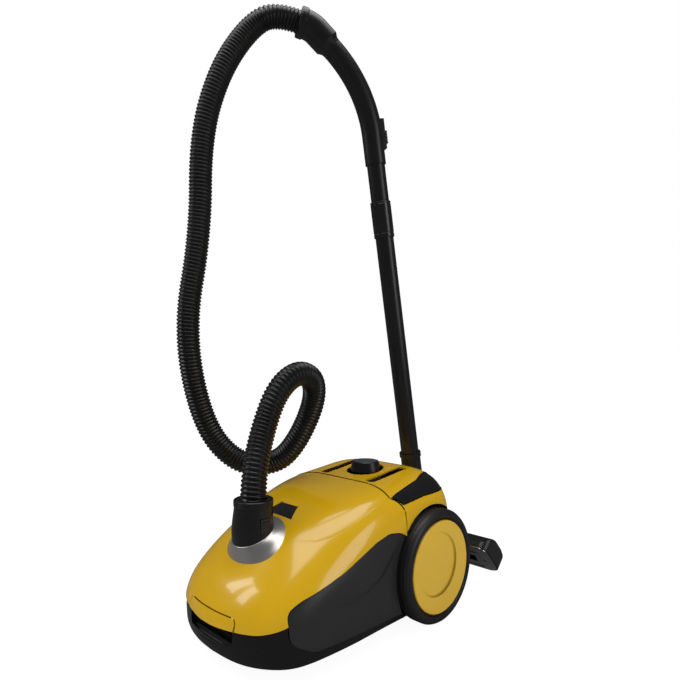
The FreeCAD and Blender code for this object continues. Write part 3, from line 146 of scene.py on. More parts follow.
@dataclass(frozen=True)
class Finish:
    """A surface finish, made into one procedural material."""

    name: str
    colour: tuple[float, float, float]
    rough: float
    grain: Grain = Grain.MOULDED
    scale: float = 900.0
    bump: float = 0.02
    vary: float = 0.04
    metal: float = 0.0
    coat: float = 0.0
    coat_rough: float = 0.05
    brush_stretch: float = 0.03
    bump_height: float = 0.0004
    drift_scale: float = 18.0

    def material(self) -> bpy.types.Material:
        """Builds the material once and gives it back after that.

        Returns:
            The material of this finish.
        """
        known = bpy.data.materials.get(self.name)
        if known is not None:
            return known
        made = bpy.data.materials.new(self.name)
        made.use_nodes = True
        tree = made.node_tree
        shader = tree.nodes["Principled BSDF"]
        shader.inputs["Metallic"].default_value = self.metal
        shader.inputs["Coat Weight"].default_value = self.coat
        shader.inputs["Coat Roughness"].default_value = self.coat_rough
        place = add_node(tree, "ShaderNodeTexCoord").outputs["Object"]
        stretch = add_node(tree, "ShaderNodeMapping")
        if self.grain is Grain.BRUSHED:
            stretch.inputs["Scale"].default_value = (self.brush_stretch, 1.0, 1.0)
        tree.links.new(place, stretch.inputs["Vector"])
        noise = add_node(tree, "ShaderNodeTexNoise", {"Scale": self.scale, "Detail": 4.0})
        tree.links.new(stretch.outputs["Vector"], noise.inputs["Vector"])
        self._colour(tree, place, shader)
        spread = add_node(
            tree,
            "ShaderNodeMapRange",
            {"To Min": max(0.02, self.rough * 0.85), "To Max": min(1.0, self.rough * 1.15)},
        )
        tree.links.new(noise.outputs["Fac"], spread.inputs["Value"])
        tree.links.new(spread.outputs["Result"], shader.inputs["Roughness"])
        if self.grain is not Grain.NONE:
            bump = add_node(tree, "ShaderNodeBump", {"Strength": self.bump, "Distance": self.bump_height})
            tree.links.new(noise.outputs["Fac"], bump.inputs["Height"])
            tree.links.new(bump.outputs["Normal"], shader.inputs["Normal"])
        return made

    def _colour(self, tree: bpy.types.NodeTree, place: bpy.types.NodeSocket, shader: bpy.types.Node) -> None:
        """Lets the colour drift a little over the piece.

        Args:
            tree: The material's nodes.
            place: Output with the place on the object.
            shader: The shader that takes the colour.
        """
        broad = add_node(tree, "ShaderNodeTexNoise", {"Scale": self.drift_scale, "Detail": 3.0})
        tree.links.new(place, broad.inputs["Vector"])
        ramp = add_node(tree, "ShaderNodeValToRGB")
        for stop, position, sign in zip(ramp.color_ramp.elements, (0.3, 0.7), (-1, 1)):
            stop.position = position
            stop.color = (*(min(1.0, c * (1 + sign * self.vary)) for c in self.colour), 1.0)
        tree.links.new(broad.outputs["Fac"], ramp.inputs["Fac"])
        tree.links.new(ramp.outputs["Color"], shader.inputs["Base Color"])


YELLOW = Finish("yellow_gloss", (0.640, 0.370, 0.002), 0.20, scale=320.0, bump=0.015, vary=0.015, coat=0.5)
CAP_YELLOW = Finish("cap_yellow", (0.690, 0.425, 0.030), 0.30, scale=900.0, bump=0.02, vary=0.015, coat=0.25)
TUB_BLACK = Finish("tub_black", (0.004, 0.004, 0.005), 0.27, scale=2500.0, bump=0.03, vary=0.1)
PANEL_GREY = Finish("panel_charcoal", (0.019, 0.019, 0.020), 0.38, scale=3500.0, bump=0.06, vary=0.06)
SATIN_BLACK = Finish("satin_black", (0.006, 0.006, 0.007), 0.33, scale=1800.0, bump=0.03, vary=0.1)
HOSE_BLACK = Finish("hose_black", (0.005, 0.005, 0.006), 0.30, scale=1500.0, bump=0.04, vary=0.15)
GLOSS_BLACK = Finish("gloss_black", (0.006, 0.006, 0.007), 0.08, scale=300.0, bump=0.01, vary=0.05, coat=0.6)
TYRE = Finish("tyre_rubber", (0.010, 0.010, 0.011), 0.42, scale=2200.0, bump=0.08, vary=0.12)
SILVER = Finish("silver_paint", (0.52, 0.50, 0.49), 0.30, scale=5000.0, bump=0.05, vary=0.03, metal=0.85)
STEEL = Finish("brushed_steel", (0.62, 0.62, 0.64), 0.28, Grain.BRUSHED, 2400.0, 0.08, 0.03, 1.0)
BRIGHT_METAL = Finish("bright_metal", (0.66, 0.66, 0.68), 0.25, Grain.BRUSHED, 1500.0, 0.05, 0.03, 1.0)
RIM_METAL = Finish("rim_metal", (0.20, 0.16, 0.11), 0.25, Grain.BRUSHED, 1500.0, 0.05, 0.03, 1.0)
GLOSS_SOCKET = Finish("socket_black", (0.008, 0.008, 0.009), 0.22, scale=1800.0, bump=0.02, vary=0.1)
DIAL_TOP = Finish("dial_slate", (0.045, 0.050, 0.065), 0.35, scale=2500.0, bump=0.04, vary=0.05)
GREY_PLASTIC = Finish("grey_plastic", (0.22, 0.225, 0.24), 0.45, scale=2500.0, bump=0.08)
RUBBER = Finish("seal_rubber", (0.015, 0.015, 0.016), 0.6, scale=2500.0, bump=0.1)
PAPER = Finish("bag_paper", (0.52, 0.43, 0.28), 0.85, Grain.FIBRE, 600.0, 0.35, 0.1)
FLEECE = Finish("filter_fleece", (0.70, 0.70, 0.67), 0.95, Grain.FIBRE, 1400.0, 0.6, 0.08)
BRISTLE = Finish("bristle", (0.03, 0.03, 0.032), 0.7, Grain.FIBRE, 1800.0, 0.8, 0.3)
FLOOR = Finish("studio_floor", (0.90, 0.90, 0.90), 0.9, scale=40.0, bump=0.0, vary=0.005)


def unit(vectors: Array) -> Array:
    """Scales vectors to length one.

    Args:
        vectors: One vector or a stack of them.

    Returns:
        The scaled vectors.
    """
    length = np.linalg.norm(vectors, axis=-1, keepdims=True)
    return vectors / np.maximum(length, 1e-12)


@dataclass
class Surface:
    """A mesh under construction with exact outward normals."""

    points: Array
    normals: Array
    faces: list[list[int]]

    def copy(self) -> "Surface":
        """Gives a separate copy."""
        return Surface(self.points.copy(), self.normals.copy(), [list(f) for f in self.faces])

    def face_means(self, values: Array) -> Array:
        """Averages values over each face's corners.

        Args:
            values: One number per point.

        Returns:
            One number per face.
        """
        counts = np.fromiter((len(f) for f in self.faces), int, len(self.faces))
        flat = np.fromiter((i for f in self.faces for i in f), int, int(counts.sum()))
        owner = np.repeat(np.arange(len(counts)), counts)
        return np.bincount(owner, values[flat], len(counts)) / counts

    def split(self, values: Array, level: float) -> None:
        """Cuts every face that a level line of the values crosses.

        Args:
            values: One number per point.
            level: The value that the cut follows.
        """
        above = values > level
        new_points: list[Array] = []
        new_normals: list[Array] = []
        cache: dict[tuple[int, int], int] = {}
        count = len(self.points)

        def crossing(a: int, b: int) -> int:
            """Index of the new point between two old ones."""
            key = (a, b) if a < b else (b, a)
            if key not in cache:
                share = (level - values[key[0]]) / (values[key[1]] - values[key[0]])
                share = min(max(share, 0.0), 1.0)
                new_points.append(self.points[key[0]] * (1 - share) + self.points[key[1]] * share)
                new_normals.append(self.normals[key[0]] * (1 - share) + self.normals[key[1]] * share)
                cache[key] = count + len(cache)
            return cache[key]

        made: list[list[int]] = []
        for face in self.faces:
            state = [above[i] for i in face]
            if all(state) or not any(state):
                made.append(face)
                continue
            changes = sum(state[i] != state[i - 1] for i in range(len(face)))
            parts = [face]
            if changes != 2:
                parts = [[face[0], face[i], face[i + 1]] for i in range(1, len(face) - 1)]
            for part in parts:
                high: list[int] = []
                low: list[int] = []
                for i, corner in enumerate(part):
                    before = part[i - 1]
                    if above[before] != above[corner]:
                        cut = crossing(before, corner)
                        high.append(cut)
                        low.append(cut)
                    (high if above[corner] else low).append(corner)
                made.extend(piece for piece in (high, low) if len(piece) > 2)
        self.faces = made
        if new_points:
            self.points = np.vstack([self.points, np.array(new_points)])
            self.normals = unit(np.vstack([self.normals, np.array(new_normals)]))

    def keep(self, values: Array, level: float = 0.0) -> None:
        """Keeps the faces that lie above a level.

        Args:
            values: One number per point.
            level: The value above which a face stays.
        """
        mean = self.face_means(values)
        self.faces = [f for f, m in zip(self.faces, mean) if m > level]
        used = np.unique(np.fromiter((i for f in self.faces for i in f), int))
        number = np.full(len(self.points), -1)
        number[used] = np.arange(len(used))
        self.points, self.normals = self.points[used], self.normals[used]
        self.faces = [[int(number[i]) for i in f] for f in self.faces]

    def trim(self, distance: Distance, level: float = 0.0) -> "Surface":
        """Cuts away what lies below a level of a distance.

        Args:
            distance: Signed distance, positive where the surface stays.
            level: The distance at which it is cut.

        Returns:
            This surface.
        """
        self.split(distance(self.points), level)
        self.keep(distance(self.points), level)
        return self

    def slope(self, distance: Distance) -> tuple[Array, Array]:
        """Distance along the surface, and the direction in which it grows.

        Args:
            distance: A function of space.

        Returns:
            The distance and unit directions in the surface.
        """
        step, least_slope = 0.05, 0.25
        value = distance(self.points)
        grad = np.empty_like(self.points)
        for axis in range(3):
            ahead = self.points.copy()
            ahead[:, axis] += step
            grad[:, axis] = (distance(ahead) - value) / step
        grad -= self.normals * np.sum(grad * self.normals, axis=1, keepdims=True)
        size = np.maximum(np.linalg.norm(grad, axis=1), least_slope)
        return value / size, unit(grad)

    def relief(
        self,
        distance: Distance,
        levels: Sequence[float],
        heights: Sequence[float],
        tilts: Sequence[float],
        fade: Distance | None = None,
    ) -> "Surface":
        """Raises or sinks the surface by its distance from a line.

        Args:
            distance: Signed distance from the line.
            levels: Distances at which the profile is given, rising.
            heights: Height of the profile at each level.
            tilts: Angle of the surface there, in radians.
            fade: Share of the relief at each point, or none for all of it.

        Returns:
            This surface.
        """
        for level in levels:
            value, _ = self.slope(distance)
            self.split(value, level)
        value, direction = self.slope(distance)
        share = 1.0 if fade is None else fade(self.points)
        height = np.interp(value, levels, heights) * share
        tilt = np.interp(value, levels, tilts) * share
        normals = self.normals
        self.points = self.points + normals * height[:, None]
        self.normals = unit(normals * np.cos(tilt)[:, None] - direction * np.sin(tilt)[:, None])
        return self

    def round_edge(self, distance: Distance, radius: float) -> "Surface":
        """Rounds the surface over at its trimmed border.

        Args:
            distance: Signed distance inside the border.
            radius: Radius of the rounding.

        Returns:
            This surface.
        """
        angles = [math.radians(a) for a in (90, 68, 45, 22, 0)]
        levels = [radius * (1 - math.sin(a)) for a in angles]
        heights = [-radius * (1 - math.cos(a)) for a in angles]
        return self.relief(distance, levels, heights, angles)

    def borders(self) -> list[tuple[int, int]]:
        """Edges that only one face uses.

        Returns:
            Pairs of points, in the direction of their face.
        """
        seen: dict[tuple[int, int], int] = {}
        for face in self.faces:
            for i, corner in enumerate(face):
                pair = (face[i - 1], corner)
                seen[pair] = seen.get(pair, 0) + 1
        return [pair for pair in seen if (pair[1], pair[0]) not in seen]

    def shell(self, inward: Array, thickness: float, closed: bool = True) -> "Surface":
        """Gives the surface a wall with a rim and an inner face.

        Args:
            inward: Outward normals before any rounding, one per point.
            thickness: Thickness of the wall.
            closed: Whether the inner face is made too.

        Returns:
            This surface.
        """
        count = len(self.points)
        edges = self.borders()
        ids = sorted({i for e in edges for i in e})
        number = {i: k for k, i in enumerate(ids)}
        top = self.points[ids]
        low = top - inward[ids] * thickness
        share = np.sum(self.normals[ids] * inward[ids], axis=1, keepdims=True)
        side = unit(self.normals[ids] - inward[ids] * share)
        points = [self.points, top, low]
        normals = [self.normals, side, side]
        rows = len(ids)
        faces = list(self.faces)
        for a, b in edges:
            i, j = number[a], number[b]
            faces.append([count + j, count + i, count + rows + i, count + rows + j])
        if closed:
            start = count + 2 * rows
            points.append(self.points - inward * thickness)
            normals.append(-inward)
            faces.extend([start + i for i in reversed(f)] for f in self.faces)
        self.points, self.normals, self.faces = np.vstack(points), np.vstack(normals), faces
        return self

    def facing(self, outward: Array) -> "Surface":
        """Turns the surface inside out where it faces the wrong way.

        Args:
            outward: Outward directions, one per point or one for all.

        Returns:
            This surface.
        """
        if float(np.sum(outward * self.normals)) < 0:
            self.normals = -self.normals
            self.faces = [f[::-1] for f in self.faces]
        return self


def joined(parts: Iterable[Surface]) -> Surface:
    """Puts several surfaces into one.

    Args:
        parts: The surfaces.

    Returns:
        One surface with them all.
    """
    points, normals, faces = [], [], []
    start = 0
    for part in parts:
        points.append(part.points)
        normals.append(part.normals)
        faces.extend([start + i for i in f] for f in part.faces)
        start += len(part.points)
    return Surface(np.vstack(points), np.vstack(normals), faces)


def make_object(name: str, surface: Surface, finish: Finish) -> bpy.types.Object:
    """Makes a Blender object with exact normals from a surface.

    Args:
        name: The object's name.
        surface: Its mesh, in millimetres from the body's middle.
        finish: Its finish.

    Returns:
        The object.
    """
    mesh = bpy.data.meshes.new(name)
    mesh.from_pydata(((surface.points + SHIFT) / 1000.0).tolist(), [], surface.faces)
    mesh.polygons.foreach_set("use_smooth", [True] * len(mesh.polygons))
    mesh.normals_split_custom_set_from_vertices(surface.normals.tolist())
    mesh.materials.append(finish.material())
    mesh.update()
    made = bpy.data.objects.new(name, mesh)
    bpy.context.scene.collection.objects.link(made)
    return made


def attach(made: bpy.types.Object, body: Body, replaced: Sequence[str] = ()) -> bpy.types.Object:
    """Lets an object ride a body and hides the CAD nodes that it replaces.

    Args:
        made: The object.
        body: The body that it moves with.
        replaced: CAD nodes that it stands for.

    Returns:
        The object.
    """
    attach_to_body(made, body.value)
    LOG.info("%s rides %s", made.name, body.value)
    if replaced:
        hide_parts(*replaced)
    return made


def grid(rows: Array, closed_rows: bool = False, closed_columns: bool = False) -> Surface:
    """A surface through a grid of points.

    Args:
        rows: Points by row and column.
        closed_rows: Whether the last row joins the first.
        closed_columns: Whether the last column joins the first.

    Returns:
        The surface, with normals from the grid.
    """
    count, width = rows.shape[:2]
    down = np.roll(rows, -1, 0) - np.roll(rows, 1, 0)
    across = np.roll(rows, -1, 1) - np.roll(rows, 1, 1)
    if not closed_rows:
        down[0], down[-1] = rows[1] - rows[0], rows[-1] - rows[-2]
    if not closed_columns:
        across[:, 0], across[:, -1] = rows[:, 1] - rows[:, 0], rows[:, -1] - rows[:, -2]
    normals = unit(np.cross(across, down))
    last_row = count if closed_rows else count - 1
    last_column = width if closed_columns else width - 1
    faces = []
    for i in range(last_row):
        a, b = i * width, ((i + 1) % count) * width
        for j in range(last_column):
            k = (j + 1) % width
            faces.append([a + j, a + k, b + k, b + j])
    return Surface(rows.reshape(-1, 3), normals.reshape(-1, 3), faces)


def turns(count: int) -> Array:
    """Angles evenly round a circle, the first one not repeated."""
    return np.linspace(0, 2 * math.pi, count, endpoint=False)


def spokes(first: Array, second: Array, angle: Array) -> Array:
    """Directions at angles from one direction towards another."""
    return np.cos(angle)[:, None] * first + np.sin(angle)[:, None] * second


def basis(axis: Array, steady: Array = np.array([1.0, 0.0, 0.0])) -> tuple[Array, Array]:
    """Two directions square to an axis.

    Args:
        axis: The axis.
        steady: The direction that the first one keeps to.

    Returns:
        The two directions.
    """
    first = unit(steady - axis * np.dot(steady, axis))
    return first, np.cross(axis, first)


def rounded_profile(corners: Sequence[Point], steps: int = 5) -> list[Flat]:
    """Rounds the corners of an open profile.

    Args:
        corners: Radius, height and rounding of each corner.
        steps: Points on each rounding.

    Returns:
        The profile's points.
    """
    points = [np.array(c[:2], float) for c in corners]
    out: list[Flat] = [tuple(points[0])]
    for i in range(1, len(points) - 1):
        here, size = points[i], corners[i][2]
        before, after = points[i - 1] - here, points[i + 1] - here
        room = min(np.linalg.norm(before), np.linalg.norm(after)) * 0.49
        before, after = unit(before), unit(after)
        if size <= 0 or abs(np.dot(before, after)) > 0.9999:
            out.append(tuple(here))
            continue
        half = math.acos(max(-1.0, min(1.0, float(np.dot(before, after))))) / 2
        cut = min(size / math.tan(half), room)
        size = cut * math.tan(half)
        centre = here + unit(before + after) * (size / math.sin(half))
        start, end = here + before * cut - centre, here + after * cut - centre
        for k in range(steps + 1):
            share = k / steps
            swing = unit(start * (1 - share) + end * share) * size
            out.append(tuple(centre + swing))
    out.append(tuple(points[-1]))
    return out


def lathe(
    corners: Sequence[Point],
    origin: Array,
    axis: Array,
    segments: int = 96,
    steps: int = 5,
) -> Surface:
    """A surface of revolution with rounded corners.

    Args:
        corners: Radius, height along the axis and rounding of each corner,
            running so that the outside is on the left.
        origin: Where heights start.
        axis: Direction of the axis.
        segments: Points round it.
        steps: Points on each rounding.

    Returns:
        The surface.
    """
    profile = np.array(rounded_profile(corners, steps))
    keep = [0] + [i for i in range(1, len(profile)) if np.linalg.norm(profile[i] - profile[i - 1]) > 1e-4]
    profile = profile[keep]
    axis = unit(np.asarray(axis, float))
    spoke = spokes(*basis(axis, np.eye(3)[0 if abs(axis[0]) < 0.9 else 1]), turns(segments))
    parts = []
    edge = np.diff(profile, axis=0)
    facing = np.stack([edge[:, 1], -edge[:, 0]], axis=1)
    facing /= np.maximum(np.linalg.norm(facing, axis=1, keepdims=True), 1e-12)
    start = 0
    for i in range(1, len(profile)):
        sharp = i == len(profile) - 1 or float(np.dot(facing[i - 1], facing[i])) < SHARP_COSINE
        if not sharp:
            continue
        span = profile[start : i + 1]
        normal = np.zeros_like(span)
        normal[:-1] += facing[start:i]
        normal[1:] += facing[start:i]
        normal /= np.maximum(np.linalg.norm(normal, axis=1, keepdims=True), 1e-12)
        points = origin + spoke[None] * span[:, 0, None, None] + axis * span[:, 1, None, None]
        normals = spoke[None] * normal[:, 0, None, None] + axis * normal[:, 1, None, None]
        patch = grid(points, closed_columns=True)
        patch.normals = normals.reshape(-1, 3)
        parts.append(patch)
        start = i
    return joined(parts)


def polygon_distance(points: Array, outline: Array) -> Array:
    """Signed distance to a closed outline, positive inside.

    Args:
        points: Points of the plane.
        outline: Corners of the outline.

    Returns:
        The distances.
    """
    best = np.full(len(points), 1e9)
    inside = np.zeros(len(points), bool)
    x, y = points[:, 0], points[:, 1]
    for a, b in zip(outline, np.roll(outline, -1, 0)):
        run = b - a
        share = np.clip(((points - a) @ run) / max(float(run @ run), 1e-12), 0, 1)
        gap = points - a - share[:, None] * run
        best = np.minimum(best, np.hypot(gap[:, 0], gap[:, 1]))
        if a[1] != b[1]:
            crosses = ((a[1] > y) != (b[1] > y)) & (x < run[0] * (y - a[1]) / run[1] + a[0])
            inside ^= crosses
    return np.where(inside, best, -best)


def rounded_outline(corners: Sequence[Flat], radii: Sequence[float], steps: int = 8) -> Array:
    """A closed outline with rounded corners.

    Args:
        corners: The corners.
        radii: Radius at each one.
        steps: Points on each rounding.

    Returns:
        The outline's points.
    """
    count = len(corners)
    out: list[Array] = []
    for i in range(count):
        here = np.array(corners[i], float)
        if radii[i] <= 0:
            out.append(here)
            continue
        before = unit(np.array(corners[i - 1], float) - here)
        after = unit(np.array(corners[(i + 1) % count], float) - here)
        half = math.acos(max(-1.0, min(1.0, float(np.dot(before, after))))) / 2
        cut = radii[i] / math.tan(half)
        centre = here + unit(before + after) * (radii[i] / math.sin(half))
        start, end = here + before * cut - centre, here + after * cut - centre
        for k in range(steps + 1):
            share = k / steps
            out.append(centre + unit(start * (1 - share) + end * share) * radii[i])
    return np.array(out)


def line_distance(points: Array, line: Array) -> tuple[Array, Array]:
    """Distance to an open line, signed by its left side, and the place on it.

    Args:
        points: Points of the plane.
        line: Corners of the line.

    Returns:
        Signed distances, and how far along the line each point lies, 0 to 1.
    """
    best = np.full(len(points), 1e9)
    sign = np.ones(len(points))
    place = np.zeros(len(points))
    lengths = np.linalg.norm(np.diff(line, axis=0), axis=1)
    ends = np.concatenate([[0], np.cumsum(lengths)])
    for k, (a, b) in enumerate(zip(line[:-1], line[1:])):
        run = b - a
        share = np.clip(((points - a) @ run) / float(run @ run), 0, 1)
        gap = points - a - share[:, None] * run
        far = np.hypot(gap[:, 0], gap[:, 1])
        nearer = far < best
        side = run[0] * gap[:, 1] - run[1] * gap[:, 0]
        best = np.where(nearer, far, best)
        sign = np.where(nearer, np.where(side >= 0, 1.0, -1.0), sign)
        place = np.where(nearer, (ends[k] + share * lengths[k]) / ends[-1], place)
    return best * sign, place


def smooth(share: Array) -> Array:
    """An even step from 0 to 1, held to them outside that range."""
    share = np.clip(share, 0.0, 1.0)
    return share * share * (3 - 2 * share)


class Envelope:
    """The body's outer form, as a fine mesh, and the lines that part it.

    Each station has its place as a share of nose or tail, the half width,
    crown, keel and waist as shares, and the power of its upper and lower curves.
    """

    KEEL = 0.0545
    QUARTER = 64
    MESH_STEP = 2.6
    SIDES_FROM = 45.0
    STATIONS = (
        (-1.000, 0.10, 0.286, 0.191, 0.236, 2.2, 2.2),
        (-0.990, 0.24, 0.318, 0.141, 0.236, 2.2, 2.4),
        (-0.965, 0.42, 0.364, 0.109, 0.241, 2.2, 2.8),
        (-0.920, 0.63, 0.427, 0.082, 0.250, 2.2, 3.4),
        (-0.844, 0.80, 0.514, 0.066, 0.273, 2.25, 4.2),
        (-0.744, 0.912, 0.586, 0.059, 0.300, 2.3, 5.5),
        (-0.603, 0.968, 0.686, KEEL, 0.345, 2.35, 7.0),
        (-0.427, 0.992, 0.791, KEEL, 0.391, 2.45, 8.0),
        (-0.201, 1.000, 0.877, KEEL, 0.441, 3.1, 9.0),
        (0.050, 1.000, 0.927, KEEL, 0.482, 4.2, 9.0),
        (0.265, 1.000, 0.952, KEEL, 0.500, 5.0, 9.0),
        (0.500, 1.000, 0.975, KEEL, 0.509, 5.0, 9.0),
        (0.725, 0.992, 1.000, KEEL, 0.509, 4.6, 9.0),
        (0.860, 0.960, 0.991, 0.059, 0.500, 4.0, 8.0),
        (0.940, 0.888, 0.950, 0.073, 0.477, 3.3, 6.0),
        (0.980, 0.768, 0.882, 0.109, 0.455, 2.8, 4.0),
        (1.000, 0.608, 0.782, 0.182, 0.445, 2.4, 3.0),
    )
    PANEL_TOP = ((-151, 90), (-133, 100.5), (-68, 121), (-5, 147), (22, 153.5), (46, 150.5), (80, 134))
    PANEL_FOOT = ((118, 100), (60, 33), (-118, 38), (-152, 56))
    PANEL_RADII = (15, 60, 80, 60, 30, 40, 40, 0, 0, 40, 20)
    WAIST = (
        (-230, 60), (-199, 61.5), (-179, 66), (-164, 71), (-149, 77), (-143, 90), (-133, 96), (-68, 117),
        (-5, 143), (22, 150), (46, 147), (80, 131), (100, 124), (140, 100), (205, 92), (230, 92),
    )
    SEAM = (
        (-400, 62), (-121, 62), (-107, 45), (-60, 53), (60, 53), (107, 45), (121, 62), (400, 62), (400, -400),
        (-400, -400),
    )
    SWITCH = ((107.4, 47.5), (121, 66.5), (140, 66.5), (140, 215), (66, 215), (74, 186), (97, 122))
    SWITCH_FOOT = ((60, 186.5), (113, 191.5), (170, 192.0))
    LENS = ((-31, -80), (31, -80), (19, -56.5), (-19, -56.5))
    LATCH = ((-52.0, 20), (52.0, 20), (52.0, 77.5), (-52.0, 77.5))

    def __init__(self) -> None:
        """Sets out the outlines and builds the form."""
        self.panel = rounded_outline(self.PANEL_TOP + self.PANEL_FOOT, self.PANEL_RADII)
        self.seam = np.array(self.SEAM, float)
        self.switch = np.array(self.SWITCH, float)
        self.waist_line = np.array(self.WAIST, float)
        self.foot = np.array(self.SWITCH_FOOT, float)
        self.full = self._mesh()
        self.tree = BVHTree.FromPolygons(self.full.points.tolist(), self.full.faces)

    @classmethod
    def _section(cls, station: Sequence[float]) -> Array:
        """One cross-section, evenly spaced along each quarter.

        Args:
            station: The station's shares.

        Returns:
            The section's points.
        """
        along, wide, crown, keel, waist, upper, lower = station
        y = along * (TAIL if along > 0 else NOSE)
        middle = waist * DECK
        quarters = []
        for height, power in ((crown * DECK - middle, upper), (middle - BELLY * keel / cls.KEEL, lower)):
            angle = np.linspace(0, math.pi / 2, 2001)
            x = wide * HALF_WIDTH * np.cos(angle) ** (2 / power)
            z = height * np.sin(angle) ** (2 / power)
            length = np.concatenate([[0], np.cumsum(np.hypot(np.diff(x), np.diff(z)))])
            even = np.linspace(0, length[-1], cls.QUARTER + 1)
            quarters.append((np.interp(even, length, x), np.interp(even, length, z)))
        (ux, uz), (lx, lz) = quarters
        x = np.concatenate([ux[:-1], -ux[:0:-1], -lx[:-1], lx[:0:-1]])
        z = np.concatenate([uz[:-1], uz[:0:-1], -lz[:-1], -lz[:0:-1]])
        return np.stack([x, np.full_like(x, y), middle + z], axis=1)

    @staticmethod
    def _spline(knots: Array, rows: Array, places: Array) -> Array:
        """A natural cubic spline through rows of points.

        Args:
            knots: Parameter of each row.
            rows: The rows.
            places: Parameters at which it is read.

        Returns:
            The rows at those parameters.
        """
        flat = rows.reshape(len(rows), -1)
        gap = np.diff(knots)
        count = len(knots)
        system = np.zeros((count, count))
        right = np.zeros_like(flat)
        system[0, 0] = system[-1, -1] = 1.0
        for i in range(1, count - 1):
            system[i, i - 1], system[i, i], system[i, i + 1] = gap[i - 1], 2 * (gap[i - 1] + gap[i]), gap[i]
            right[i] = 6 * ((flat[i + 1] - flat[i]) / gap[i] - (flat[i] - flat[i - 1]) / gap[i - 1])
        bend = np.linalg.solve(system, right)
        index = np.clip(np.searchsorted(knots, places, side="right") - 1, 0, count - 2)
        width = gap[index][:, None]
        ahead = (knots[index + 1] - places)[:, None]
        passed = (places - knots[index])[:, None]
        read = (bend[index] * ahead**3 + bend[index + 1] * passed**3) / (6 * width)
        read += (flat[index] / width - bend[index] * width / 6) * ahead
        read += (flat[index + 1] / width - bend[index + 1] * width / 6) * passed
        return read.reshape(len(places), *rows.shape[1:])

    def _mesh(self) -> Surface:
        """Builds the whole outer form.

        Returns:
            The form, closed at nose and tail.
        """
        rows = np.array([self._section(s) for s in self.STATIONS])
        steps = np.linalg.norm(np.diff(rows, axis=0), axis=2).mean(axis=1)
        knots = np.concatenate([[0], np.cumsum(steps)])
        places = [0.0]
        for a, b in zip(knots[:-1], knots[1:]):
            parts = max(4, int((b - a) / self.MESH_STEP))
            places.extend(a + (b - a) * (k + 1) / parts for k in range(parts))
        body = self._spline(knots, rows, np.array(places))
        back = np.array([0.0, 1.0, 0.0])
        nose_middle, tail_middle = body[0].mean(axis=0), body[-1].mean(axis=0)
        nose_bulge, tail_bulge = 0.35, 0.9
        nose = [
            nose_middle + (body[0] - nose_middle) * share - back * nose_bulge * (1 - share * share)
            for share in (0.02, 0.25, 0.5, 0.75, 0.92)
        ]
        reach = np.linalg.norm(body[-1] - tail_middle, axis=1, keepdims=True)
        tail = [
            tail_middle + (body[-1] - tail_middle) * (1 - inset / reach) + back * (bulge - tail_bulge)
            for inset, bulge in ((0.8, 0.15), (1.8, 0.5), (3.0, 0.8), (4.5, tail_bulge))
        ]
        tail += [tail_middle + (tail[3] - tail_middle) * share for share in (0.8, 0.55, 0.3, 0.02)]
        body[-1] -= back * tail_bulge
        body[-2] -= back * tail_bulge / 3
        return grid(np.concatenate([nose, body, tail]), closed_columns=True)

    def waist(self, points: Array) -> Array:
        """Height above the line between tub and yellow shells."""
        line = self.waist_line
        return points[:, 2] - np.interp(points[:, 1], line[:, 0], line[:, 1])

    def before_seam(self, points: Array) -> Array:
        """Distance in front of the cover's rear seam, seen from above."""
        return polygon_distance(points[:, :2], self.seam)

    def in_panel(self, points: Array) -> Array:
        """Distance inside the side panels' outline, seen from the side."""
        inside = polygon_distance(points[:, 1:], self.panel)
        return np.where(np.abs(points[:, 0]) > self.SIDES_FROM, inside, -FAR)

    def in_switch(self, points: Array) -> Array:
        """Distance inside a foot switch's field on either shoulder."""
        plan = np.stack([np.abs(points[:, 0]), points[:, 1]], axis=1)
        return np.minimum(polygon_distance(plan, self.switch), points[:, 2] - self.switch_foot(points))

    def switch_foot(self, points: Array) -> Array:
        """Height of the foot switches' outer edge, rising to the rear."""
        return np.interp(points[:, 1], self.foot[:, 0], self.foot[:, 1])

    @staticmethod
    def in_well(points: Array) -> Array:
        """Distance inside the wheel wells."""
        reach = np.hypot(points[:, 1] - WHEEL_Y, points[:, 2] - WHEEL_RADIUS)
        return np.minimum(WHEEL_RADIUS + 4.0 - reach, np.abs(points[:, 0]) - WELL_X + 3.0)

    @staticmethod
    def inlet_reach(points: Array) -> Array:
        """Distance from the inlet's axis."""
        gap = points - INLET
        return np.linalg.norm(gap - INLET_AXIS * (gap @ INLET_AXIS)[:, None], axis=1)

    @classmethod
    def in_lens(cls, points: Array) -> Array:
        """Distance inside the bag indicator's outline, seen from above."""
        inside = polygon_distance(points[:, :2], rounded_outline(cls.LENS, (0, 0, 4, 4)))
        return np.where(points[:, 2] > 120, inside, -FAR)

    @classmethod
    def in_latch(cls, points: Array) -> Array:
        """Distance inside the latch flap's outline at the nose, seen from the front."""
        inside = polygon_distance(points[:, [0, 2]], rounded_outline(cls.LATCH, (0, 0, 7, 7)))
        return np.where(points[:, 1] < -150, inside, -FAR)

    def drop(self, start: Array, direction: Array) -> Array:
        """Where a line meets the outer form.

        Args:
            start: The line's start.
            direction: Its direction.

        Returns:
            The point where it meets the form.
        """
        hit, *_ = self.tree.ray_cast(Vector(start), Vector(direction))
        return np.array(hit if hit is not None else Vector(start) + Vector(direction) * 60)


def least(*distances: Distance) -> Distance:
    """Distance to the nearest of several borders, positive inside them all."""
    return lambda points: np.min([d(points) for d in distances], axis=0)


